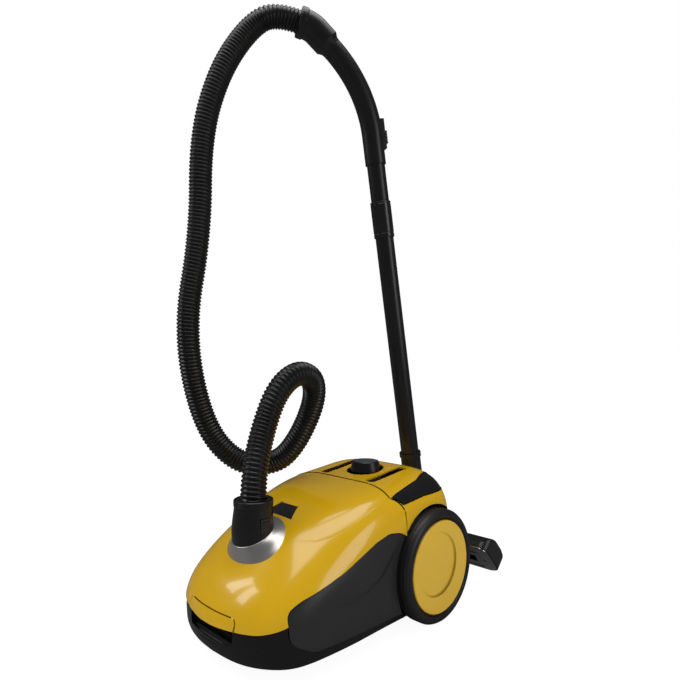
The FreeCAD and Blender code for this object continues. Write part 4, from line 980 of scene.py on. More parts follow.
@dataclass
class BodyShells:
    """The moulded shells of the body and what is let into them."""

    form: Envelope
    wall: float = 2.6
    edge: float = 0.55
    part_gap: float = 0.3
    sleeve_reach: float = 33.0
    slot: Flat = (51.0, 103.5)
    slot_half: Flat = (8.0, 42.5)
    dish: Point = (0.0, 109.0, 31.0)
    dish_floor: float = 213.8
    outlet: Point = (56.0, 110.0, 9.0)
    caster: Point = (0.0, -135.0, 30.0)
    recess: tuple[Flat, ...] = ((-48, 45), (48, 45), (48, 70), (-48, 70))
    grille: tuple[Flat, ...] = ((-84, 50), (-24, 50), (-24, 84), (-84, 84))
    crease: tuple[Flat, ...] = ((46, 140), (26, 120), (1, 99), (-30, 87), (-71, 82.5), (-112, 81))
    crease_depth: float = 3.2
    hood: tuple[Flat, ...] = (
        (107, 46), (108, 20), (107, -2), (103.5, -28), (99, -52), (94, -68), (86, -82), (75, -93), (62, -100),
        (48, -104),
    )

    def _shell(
        self,
        name: str,
        borders: Sequence[Distance],
        finish: Finish,
        offset: float = 0.0,
        wall: float | None = None,
        closed: bool = True,
        shape: Callable[[Surface], None] | None = None,
        edge: float | None = None,
    ) -> bpy.types.Object:
        """Trims a shell out of the body's form.

        Args:
            name: The object's name.
            borders: Signed distances inside each border.
            finish: Its finish.
            offset: How far it stands proud of the form.
            wall: Its thickness.
            closed: Whether it gets an inner face.
            shape: Work on the surface before its edges are rounded.
            edge: Radius of its edges.

        Returns:
            The object.
        """
        surface = self.form.full.copy()
        for border in borders:
            surface.trim(border)
        surface.points = surface.points + surface.normals * offset
        if shape is not None:
            shape(surface)
        whole = least(*borders)
        radius = self.edge if edge is None else edge
        surface.round_edge(whole, radius)
        value, direction = surface.slope(whole)
        tilt = np.interp(value, [0, radius * 0.3, radius], [math.pi / 2, 0.8, 0])
        inward = unit(surface.normals * np.cos(tilt)[:, None] + direction * np.sin(tilt)[:, None])
        surface.shell(inward, self.wall if wall is None else wall, closed)
        return make_object(name, surface, finish)

    def build(self) -> None:
        """Builds every shell of the body."""
        self._cover()
        self._deck()
        self._tub()
        self._panels()
        self._switches()
        self._latch()
        self._lens()

    def _cover(self) -> None:
        """The hinged yellow front cover with its hood line."""
        form = self.form
        borders = [
            lambda p: form.waist(p) - 0.1,
            lambda p: form.before_seam(p) - self.part_gap,
            lambda p: -form.in_panel(p) - self.part_gap,
            lambda p: -form.in_latch(p) - self.part_gap,
            lambda p: form.inlet_reach(p) - self.sleeve_reach,
            lambda p: -form.in_lens(p) - 0.2,
        ]
        made = self._shell("cover_shell", borders, YELLOW, offset=0.25, shape=self._hood_line)
        attach(made, Body.COVER, ["front_cover"])

    def _hood_line(self, surface: Surface) -> None:
        """Presses the hood's two fading lines into the cover.

        Args:
            surface: The cover's surface.
        """
        line = np.array(self.hood, float)

        def measured(points: Array) -> tuple[Array, Array]:
            """Distance to the line in plan, and the place along it."""
            return line_distance(np.stack([np.abs(points[:, 0]), points[:, 1]], axis=1), line)

        def distance(points: Array) -> Array:
            """Distance to the line in plan."""
            return measured(points)[0]

        def fade(points: Array) -> Array:
            """Share of the line's depth, less towards the inlet."""
            return smooth((1 - measured(points)[1]) / 0.45) * (points[:, 2] > 100)

        levels = (-1.6, -0.8, -0.25, 0.25, 0.8, 1.6)
        heights = (0.0, -0.08, -0.32, -0.32, -0.08, 0.0)
        tilts = (0.0, 0.42, 0.35, -0.35, -0.42, 0.0)
        surface.relief(distance, levels, heights, [-t for t in tilts], fade)

    def _deck(self) -> None:
        """The fixed yellow rear deck with its slots and dial dish."""
        form = self.form

        def off_slots(points: Array) -> Array:
            """Distance outside the two air slots."""
            away = np.stack([np.abs(points[:, 0]), points[:, 1]], axis=1) - self.slot
            wide, long = self.slot_half
            box = np.array([(-wide, -long), (wide, -long), (wide, long), (-wide, long)])
            return np.where(points[:, 2] > 150, -polygon_distance(away, box), FAR)

        def off_dish(points: Array) -> Array:
            """Distance outside the dial's dish."""
            reach = np.hypot(points[:, 0] - self.dish[0], points[:, 1] - self.dish[1])
            return np.where(points[:, 2] > 150, reach - self.dish[2], FAR)

        def off_outlet(points: Array) -> Array:
            """Distance outside the mains cord's outlet."""
            reach = np.hypot(points[:, 0] - self.outlet[0], points[:, 2] - self.outlet[1])
            return np.where(points[:, 1] > 150, reach - self.outlet[2], FAR)

        borders = [
            lambda p: form.waist(p) - 0.1,
            lambda p: -form.before_seam(p) - self.part_gap,
            lambda p: -form.in_panel(p) - self.part_gap,
            lambda p: -form.in_switch(p) - 0.4,
            lambda p: -form.in_well(p),
            off_slots,
            off_dish,
            off_outlet,
        ]
        made = self._shell("deck_shell", borders, YELLOW)
        attach(made, Body.BASE, ["rear_deck"])
        side, floor = self.dish[2] - 0.1, self.dish_floor
        profile = [(4.5, floor, 0), (side, floor, 0.8), (side, 221.0, 0)]
        dish = lathe(profile, np.array([*self.dish[:2], 0.0]), UP)
        dish.faces = [f[::-1] for f in dish.faces]
        height = np.array([form.drop((x, y, 260.0), (0, 0, -1))[2] for x, y in dish.points[:, :2]])
        dish.points[:, 2] = np.minimum(dish.points[:, 2], height - 0.3)
        attach(make_object("dial_dish", dish, YELLOW), Body.BASE)

    def _tub(self) -> None:
        """The outer skin of the black tub."""
        form = self.form

        def off_caster(points: Array) -> Array:
            """Distance outside the front caster's recess."""
            reach = np.hypot(points[:, 0] - self.caster[0], points[:, 1] - self.caster[1])
            return np.where(points[:, 2] < 60, reach - self.caster[2], FAR)

        def off_recess(points: Array) -> Array:
            """Distance outside the finger recess at the nose."""
            inside = polygon_distance(points[:, [0, 2]], rounded_outline(self.recess, (5, 5, 0, 0)))
            return np.where(points[:, 1] < -150, -inside, FAR)

        def off_grille(points: Array) -> Array:
            """Distance outside the exhaust grille's field at the rear."""
            inside = polygon_distance(points[:, [0, 2]], np.array(self.grille, float))
            return np.where(points[:, 1] > 150, -inside, FAR)

        borders = [
            lambda p: -form.waist(p) - 2 * self.part_gap,
            lambda p: -form.in_panel(p) - self.part_gap,
            lambda p: -form.in_well(p),
            off_caster,
            off_recess,
            off_grille,
        ]
        made = self._shell("tub_skin", borders, TUB_BLACK, offset=0.12, wall=1.2, closed=False, edge=0.5)
        attach(made, Body.BASE)

    def _panels(self) -> None:
        """The charcoal side panels with their pressed crease."""
        form = self.form
        crease = np.array(self.crease, float)
        fold, fading = 2.2, 60.0

        def shape(surface: Surface) -> None:
            """Presses the field above the crease inward."""
            gap, place = line_distance(surface.points[:, 1:], crease)
            share = smooth(1 - np.abs(place - 0.45) / 0.5)
            above = smooth((-gap + fold) / (2 * fold))
            depth = self.crease_depth * above * share * smooth((fading - np.abs(gap)) / fading)
            surface.points = surface.points - surface.normals * depth[:, None]
            surface.normals = shaded_normals(surface)

        for sign, name in ((1, "side_panel_right"), (-1, "side_panel_left")):
            borders = [
                form.in_panel,
                lambda p: -form.in_well(p),
                lambda p, s=sign: p[:, 0] * s - form.SIDES_FROM,
            ]
            looks = {"offset": 1.0, "wall": 2.2, "shape": shape, "edge": 0.9}
            attach(self._shell(name + "_skin", borders, PANEL_GREY, **looks), Body.BASE, [name])

    def _switches(self) -> None:
        """The black foot switches on the shoulders."""
        form = self.form
        for sign, name, body in ((1, "power_switch", Body.POWER), (-1, "rewind_switch", Body.REWIND)):
            borders = [form.in_switch, lambda p, s=sign: p[:, 0] * s]
            made = self._shell(name + "_cap", borders, SATIN_BLACK, wall=2.4, edge=0.8)
            attach(made, body, [name])

    def _latch(self) -> None:
        """The latch flap at the nose."""
        form = self.form
        borders = [form.in_latch, lambda p: form.waist(p) - self.part_gap, lambda p: -110.0 - p[:, 1]]
        made = self._shell("latch_flap", borders, YELLOW, edge=0.5)
        attach(made, Body.LATCH, ["cover_latch"])

    def _lens(self) -> None:
        """The bag indicator's glossy window."""
        made = self._shell("indicator_lens", [self.form.in_lens], GLOSS_BLACK, offset=1.6, wall=3.0, edge=1.0)
        attach(made, Body.COVER, ["bag_indicator"])


def shaded_normals(surface: Surface) -> Array:
    """Averages the faces' normals at each point.

    Args:
        surface: The surface.

    Returns:
        The normals, outward.
    """
    total = np.zeros_like(surface.points)
    for face in surface.faces:
        corner = surface.points[face]
        middle = corner.mean(axis=0)
        area = np.cross(corner - middle, np.roll(corner, -1, 0) - middle).sum(axis=0)
        total[face] += area
    total = unit(total)
    facing = np.sum(total * surface.normals, axis=1, keepdims=True)
    return np.where(facing < 0, -total, total)


@dataclass
class Hose:
    """The ribbed hose, as one chain of three stretches."""

    crest: float = 19.0
    root: float = 16.6
    bore: float = 15.6
    pitch: float = 6.0
    around: int = 40
    per_rib: int = 8
    smoothing: int = 12
    loop: tuple[Point, ...] = (
        (0, -125, 204), (0, -125, 245), (-14, -97, 308), (-7, -76, 363), (-7, -36, 388), (-18, 7, 374),
        (-35, 22, 332), (-68, 12, 265), (-105, -3, 227), (-152, -51, 228), (-182, -99, 298),
        (-182.5, -116.5, 375),
    )
    rise: tuple[Point, ...] = (
        (-182.5, -116.5, 375), (-183, -134, 452), (-159, -119, 615), (-154, -122.5, 692.5),
    )
    top: tuple[Point, ...] = (
        (-154, -122.5, 692.5), (-149, -126, 770), (-124, -108, 875), (-105, -63, 960), (-73, -32, 985),
        (-49.33, 11.14, 973.65),
    )

    @staticmethod
    def read_route(name: str, route: Sequence[Sequence[float]]) -> Array:
        """Reads points from a route's smooth spline.

        Args:
            name: Name for the curve.
            route: Its control points.

        Returns:
            Points along the spline, in millimetres.
        """
        curve = bpy.data.curves.new(name, "CURVE")
        curve.dimensions = "3D"
        curve.resolution_u = 48
        spline = curve.splines.new("NURBS")
        spline.points.add(len(route) - 1)
        for point, place in zip(spline.points, route):
            point.co = (*((np.array(place) + SHIFT) / 1000.0), 1.0)
        spline.order_u = 3
        spline.use_endpoint_u = True
        holder = bpy.data.objects.new(name, curve)
        bpy.context.scene.collection.objects.link(holder)
        mesh = bpy.data.meshes.new_from_object(holder)
        points = np.array([v.co[:] for v in mesh.vertices]) * 1000.0 - SHIFT
        bpy.data.objects.remove(holder)
        bpy.data.meshes.remove(mesh)
        return points

    def build(self) -> None:
        routes = {"loop": self.loop, "rise": self.rise, "top": self.top}
        stretches = [self.read_route(name, route) for name, route in routes.items()]
        chain = np.vstack([stretches[0], stretches[1][1:], stretches[2][1:]])
        travelled = np.concatenate([[0], np.cumsum(np.linalg.norm(np.diff(chain, axis=0), axis=1))])
        marks = [0, len(stretches[0]) - 1, len(stretches[0]) + len(stretches[1]) - 2, len(chain) - 1]
        ends = [travelled[m] for m in marks]
        step = self.pitch / self.per_rib
        count = int(round(travelled[-1] / step))
        places = np.linspace(0, travelled[-1], count + 1)
        line = np.stack([np.interp(places, travelled, chain[:, k]) for k in range(3)], axis=1)
        ahead = unit(np.gradient(line, axis=0))
        for _ in range(self.smoothing):
            ahead[1:-1] = unit(ahead[:-2] + 2 * ahead[1:-1] + ahead[2:])
        steady = self._steady(ahead)
        names = ("hose_loop", "hose_rise", "hose_top")
        for index, name in enumerate(names):
            low = int(round(ends[index] / step))
            high = min(count, int(round(ends[index + 1] / step)))
            made = self._stretch(name + "_ribbed", line, ahead, steady, low, high)
            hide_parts(name)
            if name == "hose_loop":
                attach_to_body(made, Body.COVER.value)
            elif name == "hose_rise":
                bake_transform(made)
            else:
                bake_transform(made)

    @staticmethod
    def _steady(ahead: Array) -> Array:
        """Turns a side direction along the line without twist.

        Args:
            ahead: The line's direction at each point.

        Returns:
            The side direction at each point.
        """
        side = np.empty_like(ahead)
        side[0] = unit(np.cross(ahead[0], [0.0, 1.0, 0.0]))
        for i in range(1, len(ahead)):
            side[i] = unit(side[i - 1] - ahead[i] * np.dot(side[i - 1], ahead[i]))
        return side

    def _stretch(
        self, name: str, line: Array, ahead: Array, steady: Array, low: int, high: int
    ) -> bpy.types.Object:
        """One stretch of the hose with its spiral rib and its bore.

        Args:
            name: The object's name.
            line: The whole hose's middle line.
            ahead: Its direction at each point.
            steady: Its side direction at each point.
            low: Index of the first point.
            high: Index of the last point.

        Returns:
            The object.
        """
        index = np.arange(low, high + 1)
        angle = turns(self.around)
        phase = (index[:, None] / self.per_rib + angle[None, :] / (2 * math.pi)) * 2 * math.pi
        wave = 0.5 + 0.5 * np.cos(phase)
        radius = self.root + (self.crest - self.root) * wave**0.6
        across = np.cross(ahead[index], steady[index])
        spoke = spokes(steady[index][:, None], across[:, None], angle)
        outside = grid(line[index][:, None] + spoke * radius[:, :, None], closed_columns=True)
        outside.facing(spoke.reshape(-1, 3))
        bore_index = index[::self.per_rib]
        if bore_index[-1] != index[-1]:
            bore_index = np.append(bore_index, index[-1])
        bore_spoke = spoke[bore_index - low]
        inside = grid(line[bore_index][:, None] + bore_spoke * self.bore, closed_columns=True)
        inside.facing(-bore_spoke.reshape(-1, 3))
        inside.normals = -bore_spoke.reshape(-1, 3)
        return make_object(name, joined([outside, inside]), HOSE_BLACK)


@dataclass
class Inlet:
    """The silver cone, the hose connector with its button pockets, and the cuff."""

    form: Envelope
    rise: float = 12.0
    rim: float = 32.2
    foot_middle: float = -115.0
    foot_half: Flat = (59.5, 38.0)
    swell: float = 0.16
    crown: Point = (0.0, -125.0, 199.0)
    stem_low: float = 29.5
    stem_high: float = 27.4
    stem_wall: float = 4.5
    pocket: tuple[Flat, ...] = ((-133.7, 165.8), (-116.3, 165.8), (-116.3, 187.2), (-133.7, 187.2))

    def build(self) -> None:
        """Builds the inlet's pieces."""
        self._cone()
        self._connector()
        self._cuff()

    def _cone(self) -> None:
        """The satin silver cone that grows out of the hood."""
        angle = turns(160)
        rim_middle = INLET + INLET_AXIS * self.rise + np.array([0.0, 0.6, 0.2])
        above, sunk = 300.0, 0.8
        foot = []
        for a in angle:
            x, y = self.foot_half[0] * math.cos(a), self.foot_middle + self.foot_half[1] * math.sin(a)
            foot.append(self.form.drop(np.array([x, y, above]), -UP) - UP * sunk)
        foot = np.array(foot)
        spoke = spokes(*basis(INLET_AXIS), angle)
        edge = rim_middle + spoke * self.rim
        rows = []
        for share in np.linspace(0, 1, 30):
            swell = self.swell * math.sin(math.pi * share) ** 2
            puff = (edge - foot) * [swell * 0.3, swell * 0.3, -swell * 0.4]
            rows.append(foot * (1 - share) + edge * share + puff)
        lip = ((self.rim - 0.5, 0.7), (self.rim - 1.4, 0.9), (29.0, 0.6), (28.6, -3.0), (28.4, -12.0))
        rows += [rim_middle + spoke * radius + INLET_AXIS * height for radius, height in lip]
        wall = grid(np.array(rows), closed_columns=True)
        wall.facing(wall.points - INLET)
        wall.trim(lambda p: -Envelope.in_lens(p) - 0.25)
        attach(make_object("inlet_cone_skin", wall, SILVER), Body.COVER, ["inlet_cone"])

    def _connector(self) -> None:
        """The bent connector with its flared foot and button pockets."""
        low = INLET + INLET_AXIS * (self.rise + 0.2)
        high = np.array(self.crown)
        angle = turns(128)
        rows, centres = [], []
        reach, foot_round = float(np.linalg.norm(high - low)), 1.6
        for share in np.linspace(0, 1, 60):
            blend = share * share * (3 - 2 * share)
            axis = unit(INLET_AXIS * (1 - blend) + UP * blend)
            h1 = 2 * share**3 - 3 * share**2 + 1
            h2 = share**3 - 2 * share**2 + share
            h3 = -2 * share**3 + 3 * share**2
            h4 = share**3 - share**2
            centre = low * h1 + INLET_AXIS * h2 * reach + high * h3 + UP * h4 * reach
            flare = math.exp(-share * 9.0)
            radius = self.stem_low + (self.stem_high - self.stem_low) * share + flare
            radius -= foot_round * max(0.0, 1 - share * reach / foot_round) ** 2
            centres.append(centre)
            rows.append(centre + spokes(*basis(axis), angle) * radius)
        skin = grid(np.array(rows), closed_columns=True)
        skin.facing(skin.points - np.repeat(np.array(centres), len(angle), axis=0))

        def off_pocket(points: Array) -> Array:
            """Distance outside the two button pockets, seen from the side."""
            inside = polygon_distance(points[:, 1:], rounded_outline(self.pocket, (2, 2, 2, 2)))
            return np.where(np.abs(points[:, 0]) > 15, -inside, FAR)

        skin.trim(off_pocket)
        skin.round_edge(off_pocket, 0.6)
        skin.shell(skin.normals.copy(), self.stem_wall)
        attach(make_object("hose_connector_skin", skin, SATIN_BLACK), Body.COVER)

    def _cuff(self) -> None:
        """The swivel cuff with its fine grooves."""
        profile = [(24.0, 0.2, 0), (27.6, 0.2, 0.6)]
        for k in range(3):
            z = 2.2 + 1.9 * k
            profile += [(28.2, z, 0.25), (27.7, z + 0.35, 0.2), (28.2, z + 0.8, 0.25)]
        profile += [(28.2, 9.2, 1.2), (26.6, 10.3, 0.8), (19.4, 10.3, 0)]
        cuff = make_object("hose_cuff_skin", lathe(profile, np.array(self.crown), UP, 96), SATIN_BLACK)
        attach(cuff, Body.CUFF, ["hose_cuff"])


@dataclass
class DustBag:
    """The filled paper bag inside, with its creases."""

    rows: int = 72
    around: int = 144

    def build(self) -> None:
        """Builds the bag in the place that the CAD gives it."""
        low, high = (np.array(corner) * 1000.0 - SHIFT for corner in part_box("dust_bag"))
        middle, half = (low + high) / 2, (high - low) / 2
        angle = turns(self.around)
        rows = []
        for along in np.linspace(-1, 1, self.rows):
            full = max(0.0, 1 - abs(along) ** 5) ** 0.42
            wide, tall = 0.30 + 0.68 * full, 0.10 + 0.88 * full
            crease = 0.020 * np.sin(9 * angle + 4.0 * along) + 0.012 * np.sin(23 * angle - 7.0 * along)
            fold = 1 - 0.035 * np.exp(-((np.sin(angle) / 0.10) ** 2)) + crease * (1 - 0.4 * full) - 0.03
            x = np.sign(np.cos(angle)) * np.abs(np.cos(angle)) ** 0.55 * wide * fold
            z = np.sign(np.sin(angle)) * np.abs(np.sin(angle)) ** 0.75 * tall * fold
            y = np.full_like(angle, along * 0.985)
            rows.append(middle + np.stack([x, y, z], axis=1) * half)
        ends = [row.mean(axis=0) + (row - row.mean(axis=0)) * 0.02 for row in (rows[0], rows[-1])]
        bag = grid(np.array([ends[0], *rows, ends[1]]), closed_columns=True)
        bag.facing(bag.points - middle)
        bag.normals = shaded_normals(Surface(bag.points, unit(bag.points - middle), bag.faces))
        made = attach(make_object("dust_bag_paper", bag, PAPER), Body.BASE, ["dust_bag"])


@dataclass
class RearWheels:
    """The large rear wheels with tyre, rim ring and stepped cap."""

    step_centre: Flat = (117.07, 92.25)
    step_radius: float = 48.2
    step_depth: float = 3.4
    tyre_inner: float = 72.0
    cap_radius: float = 69.9
    cap_wall: float = 4.5

    def build(self) -> None:
        """Builds both wheels."""
        for sign, body, side in ((1, Body.WHEEL_RIGHT, "right"), (-1, Body.WHEEL_LEFT, "left")):
            self._tyre(sign, body, side)
            self._cap(sign, body, side)

    @staticmethod
    def _seat(sign: int) -> tuple[Array, Array]:
        """The wheel's middle on its outer plane, and its axis outward."""
        return np.array([sign * WHEEL_FACE, WHEEL_Y, WHEEL_RADIUS]), np.array([float(sign), 0.0, 0.0])

    def _tyre(self, sign: int, body: Body, side: str) -> None:
        """The tyre, with two fine grooves in its tread.

        Args:
            sign: Side of the body.
            body: The wheel's body.
            side: Word for the side.
        """
        middle, axis = self._seat(sign)
        tread, groove, inner = WHEEL_RADIUS, WHEEL_RADIUS - 0.9, self.tyre_inner
        profile = [(inner, -30.0, 0), (81.0, -30.0, 1.5), (85.2, -27.5, 2.0), (tread, -22.0, 2.0)]
        for z in (-19.0, -10.5):
            profile += [(tread, z, 0.3), (groove, z + 0.6, 0.3)]
            profile += [(groove, z + 1.4, 0.3), (tread, z + 2.0, 0.3)]
        profile += [(tread, -6.5, 4.0), (83.6, -2.2, 2.5), (79.5, 0.0, 1.8), (74.6, 0.0, 1.6)]
        profile += [(72.4, -2.2, 0.8), (inner, -9.0, 0)]
        tyre = lathe(profile, middle, axis, 144)
        attach(make_object("tyre_skin_" + side, tyre, TYRE), body, ["tyre_" + side])
        profile = [(inner, -6.2, 0), (71.9, -1.7, 0.6), (70.6, -1.7, 0.4), (70.3, -5.9, 0)]
        ring = lathe(profile, middle, axis, 144)
        attach(make_object("rim_ring_" + side, ring, RIM_METAL), body)

    def _cap(self, sign: int, body: Body, side: str) -> None:
        """The yellow cap with its off-centre sunken disc.

        Args:
            sign: Side of the body.
            body: The wheel's body.
            side: Word for the side.
        """
        middle, axis = self._seat(sign)
        radii = np.concatenate([[0.05], np.linspace(2.0, self.cap_radius, 46)])
        height = 1.5 - 1.6 * (radii / self.cap_radius) ** 2
        spoke = spokes(np.array([0.0, sign, 0.0]), UP, turns(180))
        rows = [middle + spoke * r + axis * h for r, h in zip(radii, height)]
        disc = grid(np.array(rows), closed_columns=True)
        disc.facing(axis)
        centre = np.array(self.step_centre)
        rise = unit(centre - np.array([WHEEL_Y, WHEEL_RADIUS]))

        def inside(points: Array) -> Array:
            """Distance inside the sunken disc."""
            return self.step_radius - np.hypot(points[:, 1] - centre[0], points[:, 2] - centre[1])

        def share(points: Array) -> Array:
            """Share of the step's depth, which runs out at the top."""
            offset = (points[:, 1:] - centre) @ -rise
            return np.clip(0.5 + 0.62 * offset / self.step_radius, 0.0, 1.0)

        def border(points: Array) -> Array:
            """Distance inside the cap's rim."""
            return self.cap_radius - np.hypot(points[:, 1] - WHEEL_Y, points[:, 2] - WHEEL_RADIUS)

        sunk = [-self.step_depth * part for part in (0.0, 0.08, 0.4, 0.9, 1.0)]
        disc.relief(inside, (-0.6, -0.1, 0.5, 2.0, 3.0), sunk, (0.0, 0.6, 1.1, 0.55, 0.0), share)
        disc.round_edge(border, 1.6)
        disc.shell(np.tile(axis, (len(disc.points), 1)), self.cap_wall)
        made = make_object("wheel_cap_skin_" + side, disc, CAP_YELLOW)
        attach(made, body, ["wheel_cap_" + side])


@dataclass
class Dial:
    """The round suction dial on the deck."""

    centre: Point = (0.0, 109.0, 214.6)
    ribs: int = 48
    rib_depth: float = 0.35

    def build(self) -> None:
        """Builds the dial with its gripping ribs and slate top."""
        base = np.array(self.centre)
        profile = [
            (4.0, 0.0, 0), (25.2, 0.0, 0.5), (25.7, 1.6, 0.6), (25.1, 6.0, 0.5), (22.8, 16.9, 0.8),
            (21.6, 18.2, 0.5), (20.6, 18.2, 0.2), (20.4, 17.7, 0),
        ]
        body = lathe(profile, base, UP, 240)
        gap = body.points - base
        reach = np.hypot(gap[:, 0], gap[:, 1])
        turn = np.arctan2(gap[:, 1], gap[:, 0])
        grip = smooth((gap[:, 2] - 6.5) / 2.0) * smooth((16.0 - gap[:, 2]) / 2.0) * (reach > 20)
        shrink = 1 - self.rib_depth * grip * (0.5 + 0.5 * np.cos(turn * self.ribs)) / np.maximum(reach, 1)
        body.points[:, 0] = base[0] + gap[:, 0] * shrink
        body.points[:, 1] = base[1] + gap[:, 1] * shrink
        made = make_object("suction_dial_body", body, SATIN_BLACK)
        attach(made, Body.DIAL, ["suction_dial"])
        top = lathe([(20.4, 17.6, 0), (20.1, 18.35, 0.35), (10.0, 18.4, 0), (0.05, 18.4, 0)], base, UP, 120)
        attach(make_object("suction_dial_top", top, DIAL_TOP), Body.DIAL)
        stem = lathe([(3.0, -22.0, 0), (3.0, 0.2, 0)], base, UP, 32)
        attach(make_object("suction_dial_stem", stem, STEEL), Body.DIAL)


@dataclass
class Wand:
    """The parked wand with its socket, the bent grip and the collar."""

    turn: float = math.radians(30.0)
    bend_radius: float = 240.0
    bend: float = math.radians(40.0)
    neck: float = 34.0
    head_radius: float = 45.0
    head_bend: float = math.radians(28.0)
    straight_top: float = 562.0
    tube_inner: float = 14.65
    tube_radius: float = 16.25
    tube_low: float = -69.5
    tube_high: float = 442.0
    collar_bore: float = 20.1

    def build(self) -> None:
        """Builds the wand's pieces."""
        self._tube()
        self._grip()
        self._collar()

    def lean(self) -> Array:
        """Direction in which the grip leans, square to the wand."""
        side = np.array([-math.sin(self.turn), -math.cos(self.turn), 0.0])
        return unit(side - WAND_AXIS * np.dot(side, WAND_AXIS))

    def _tube(self) -> None:
        """The tube and the socket over its upper end."""
        inner, outer, low, high = self.tube_inner, self.tube_radius, self.tube_low, self.tube_high
        profile = [
            (inner, low, 0), (16.0, low - 0.5, 0.3), (outer, low + 0.5, 0.2), (outer, high - 1.0, 0.3),
            (inner, high, 0), (inner, low, 0),
        ]
        tube = lathe(profile, WAND, WAND_AXIS, 96)
        attach(make_object("wand_tube_skin", tube, SATIN_BLACK), Body.WAND, ["wand_tube"])
        profile = [
            (16.3, 385.0, 0), (17.6, 385.0, 0.7), (18.2, 386.6, 0.6), (18.2, 391.5, 0.4),
            (17.75, 392.2, 0.3), (17.75, 393.8, 0.3), (18.2, 394.5, 0.4), (18.2, 444.0, 0.3),
            (17.8, 444.6, 0.3), (17.8, 445.6, 0.3), (18.2, 446.2, 0.3), (18.2, 448.2, 0.8),
            (17.2, 449.0, 0.3), (16.3, 449.0, 0),
        ]
        socket = lathe(profile, WAND, WAND_AXIS, 96)
        made = make_object("wand_socket_skin", socket, GLOSS_SOCKET)
        attach(made, Body.WAND, ["wand_socket"])

    def _line(self) -> tuple[Array, Array, Array]:
        """The grip's middle line from its stem to its head.

        Returns:
            Points, directions and the distance along the line.
        """
        lean = self.lean()
        points: list[Array] = []
        ways: list[Array] = []

        def heading(angle: float) -> Array:
            """Direction at an angle from the wand towards the lean."""
            return WAND_AXIS * math.cos(angle) + lean * math.sin(angle)

        for along in np.linspace(449.3, self.straight_top, 46):
            points.append(WAND + WAND_AXIS * along)
            ways.append(WAND_AXIS)
        centre = WAND + WAND_AXIS * self.straight_top + lean * self.bend_radius
        for angle in np.linspace(0, self.bend, 64)[1:]:
            points.append(centre - heading(math.pi / 2 + angle) * self.bend_radius)
            ways.append(heading(angle))
        start = points[-1]
        for far in np.linspace(0, self.neck, 16)[1:]:
            points.append(start + heading(self.bend) * far)
            ways.append(heading(self.bend))
        centre = points[-1] + heading(self.bend + math.pi / 2) * self.head_radius
        for angle in np.linspace(0, self.head_bend, 16)[1:]:
            points.append(centre - heading(self.bend + math.pi / 2 + angle) * self.head_radius)
            ways.append(heading(self.bend + angle))
        line = np.array(points)
        way = np.array(ways)
        far = np.concatenate([[0], np.cumsum(np.linalg.norm(np.diff(line, axis=0), axis=1))])
        return line, way, far

    def _grip(self) -> None:
        """The one-piece grip: stem, handle, shoulder and head."""
        line, way, far = self._line()
        end = far[-1]
        marks = [
            (0.0, 15.4), (0.8, 16.0), (60.0, 16.0), (64.5, 16.0), (65.2, 17.4), (66.6, 18.3),
            (end - 58.0, 18.3), (end - 52.0, 19.2), (end - 45.0, 22.9), (end - 42.0, 23.5),
            (end - 24.0, 23.5), (end - 23.2, 22.9), (end - 22.0, 22.9), (end - 21.2, 23.5), (end - 1.2, 23.5),
            (end, 22.4),
        ]
        distance, radius = zip(*marks)
        places = np.unique(np.concatenate([np.arange(0, end, 1.5), distance, np.array(distance) + 0.25]))
        places = places[places <= end]
        middle = np.stack([np.interp(places, far, line[:, k]) for k in range(3)], axis=1)
        ahead = unit(np.stack([np.interp(places, far, way[:, k]) for k in range(3)], axis=1))
        steady = np.cross(ahead, np.tile(np.cross(WAND_AXIS, self.lean()), (len(ahead), 1)))
        across = np.cross(ahead, steady)
        spoke = spokes(steady[:, None], across[:, None], turns(80))
        reach = np.interp(places, distance, radius)
        skin = grid(middle[:, None] + spoke * reach[:, None, None], closed_columns=True)
        skin.facing(spoke.reshape(-1, 3))
        slope = np.gradient(reach, places)
        tilt = spoke - ahead[:, None] * slope[:, None, None]
        skin.normals = unit(tilt).reshape(-1, 3)
        caps = []
        for row, sign in ((0, -1.0), (-1, 1.0)):
            ring = middle[row] + spoke[row] * reach[row]
            inner = middle[row] + spoke[row] * (14.0 if row == 0 else self.collar_bore)
            cap = grid(np.stack([ring, inner]), closed_columns=True)
            cap.normals = np.tile(ahead[row] * sign, (len(cap.points), 1))
            caps.append(cap)
        attach(make_object("hand_grip_skin", joined([skin, *caps]), SATIN_BLACK), Body.WAND)

    def _collar(self) -> None:
        """The swivel collar with its rounded rims."""
        line, way, _ = self._line()
        profile = [
            (self.collar_bore, 0.3, 0), (24.4, 0.3, 0.6), (25.2, 1.6, 0.6), (25.2, 10.2, 1.0),
            (23.8, 12.0, 0.8), (19.4, 12.0, 0),
        ]
        collar = lathe(profile, line[-1], way[-1], 96)
        made = make_object("hose_collar_skin", collar, SATIN_BLACK)
        attach(made, Body.COLLAR, ["hose_collar"])


@dataclass(frozen=True)
class Softbox:
    """A rectangular soft lamp, in metres and watts."""

    name: str
    place: Point
    target: Point
    width: float
    height: float
    power: float

    def build(self) -> None:
        """Hangs the lamp and turns it to its target."""
        data = bpy.data.lights.new(self.name, "AREA")
        data.shape = "RECTANGLE"
        data.size = self.width
        data.size_y = self.height
        data.energy = self.power
        lamp = bpy.data.objects.new(self.name, data)
        bpy.context.scene.collection.objects.link(lamp)
        lamp.location = self.place
        aim = Vector(self.target) - Vector(self.place)
        lamp.rotation_euler = aim.to_track_quat("-Z", "Y").to_euler()


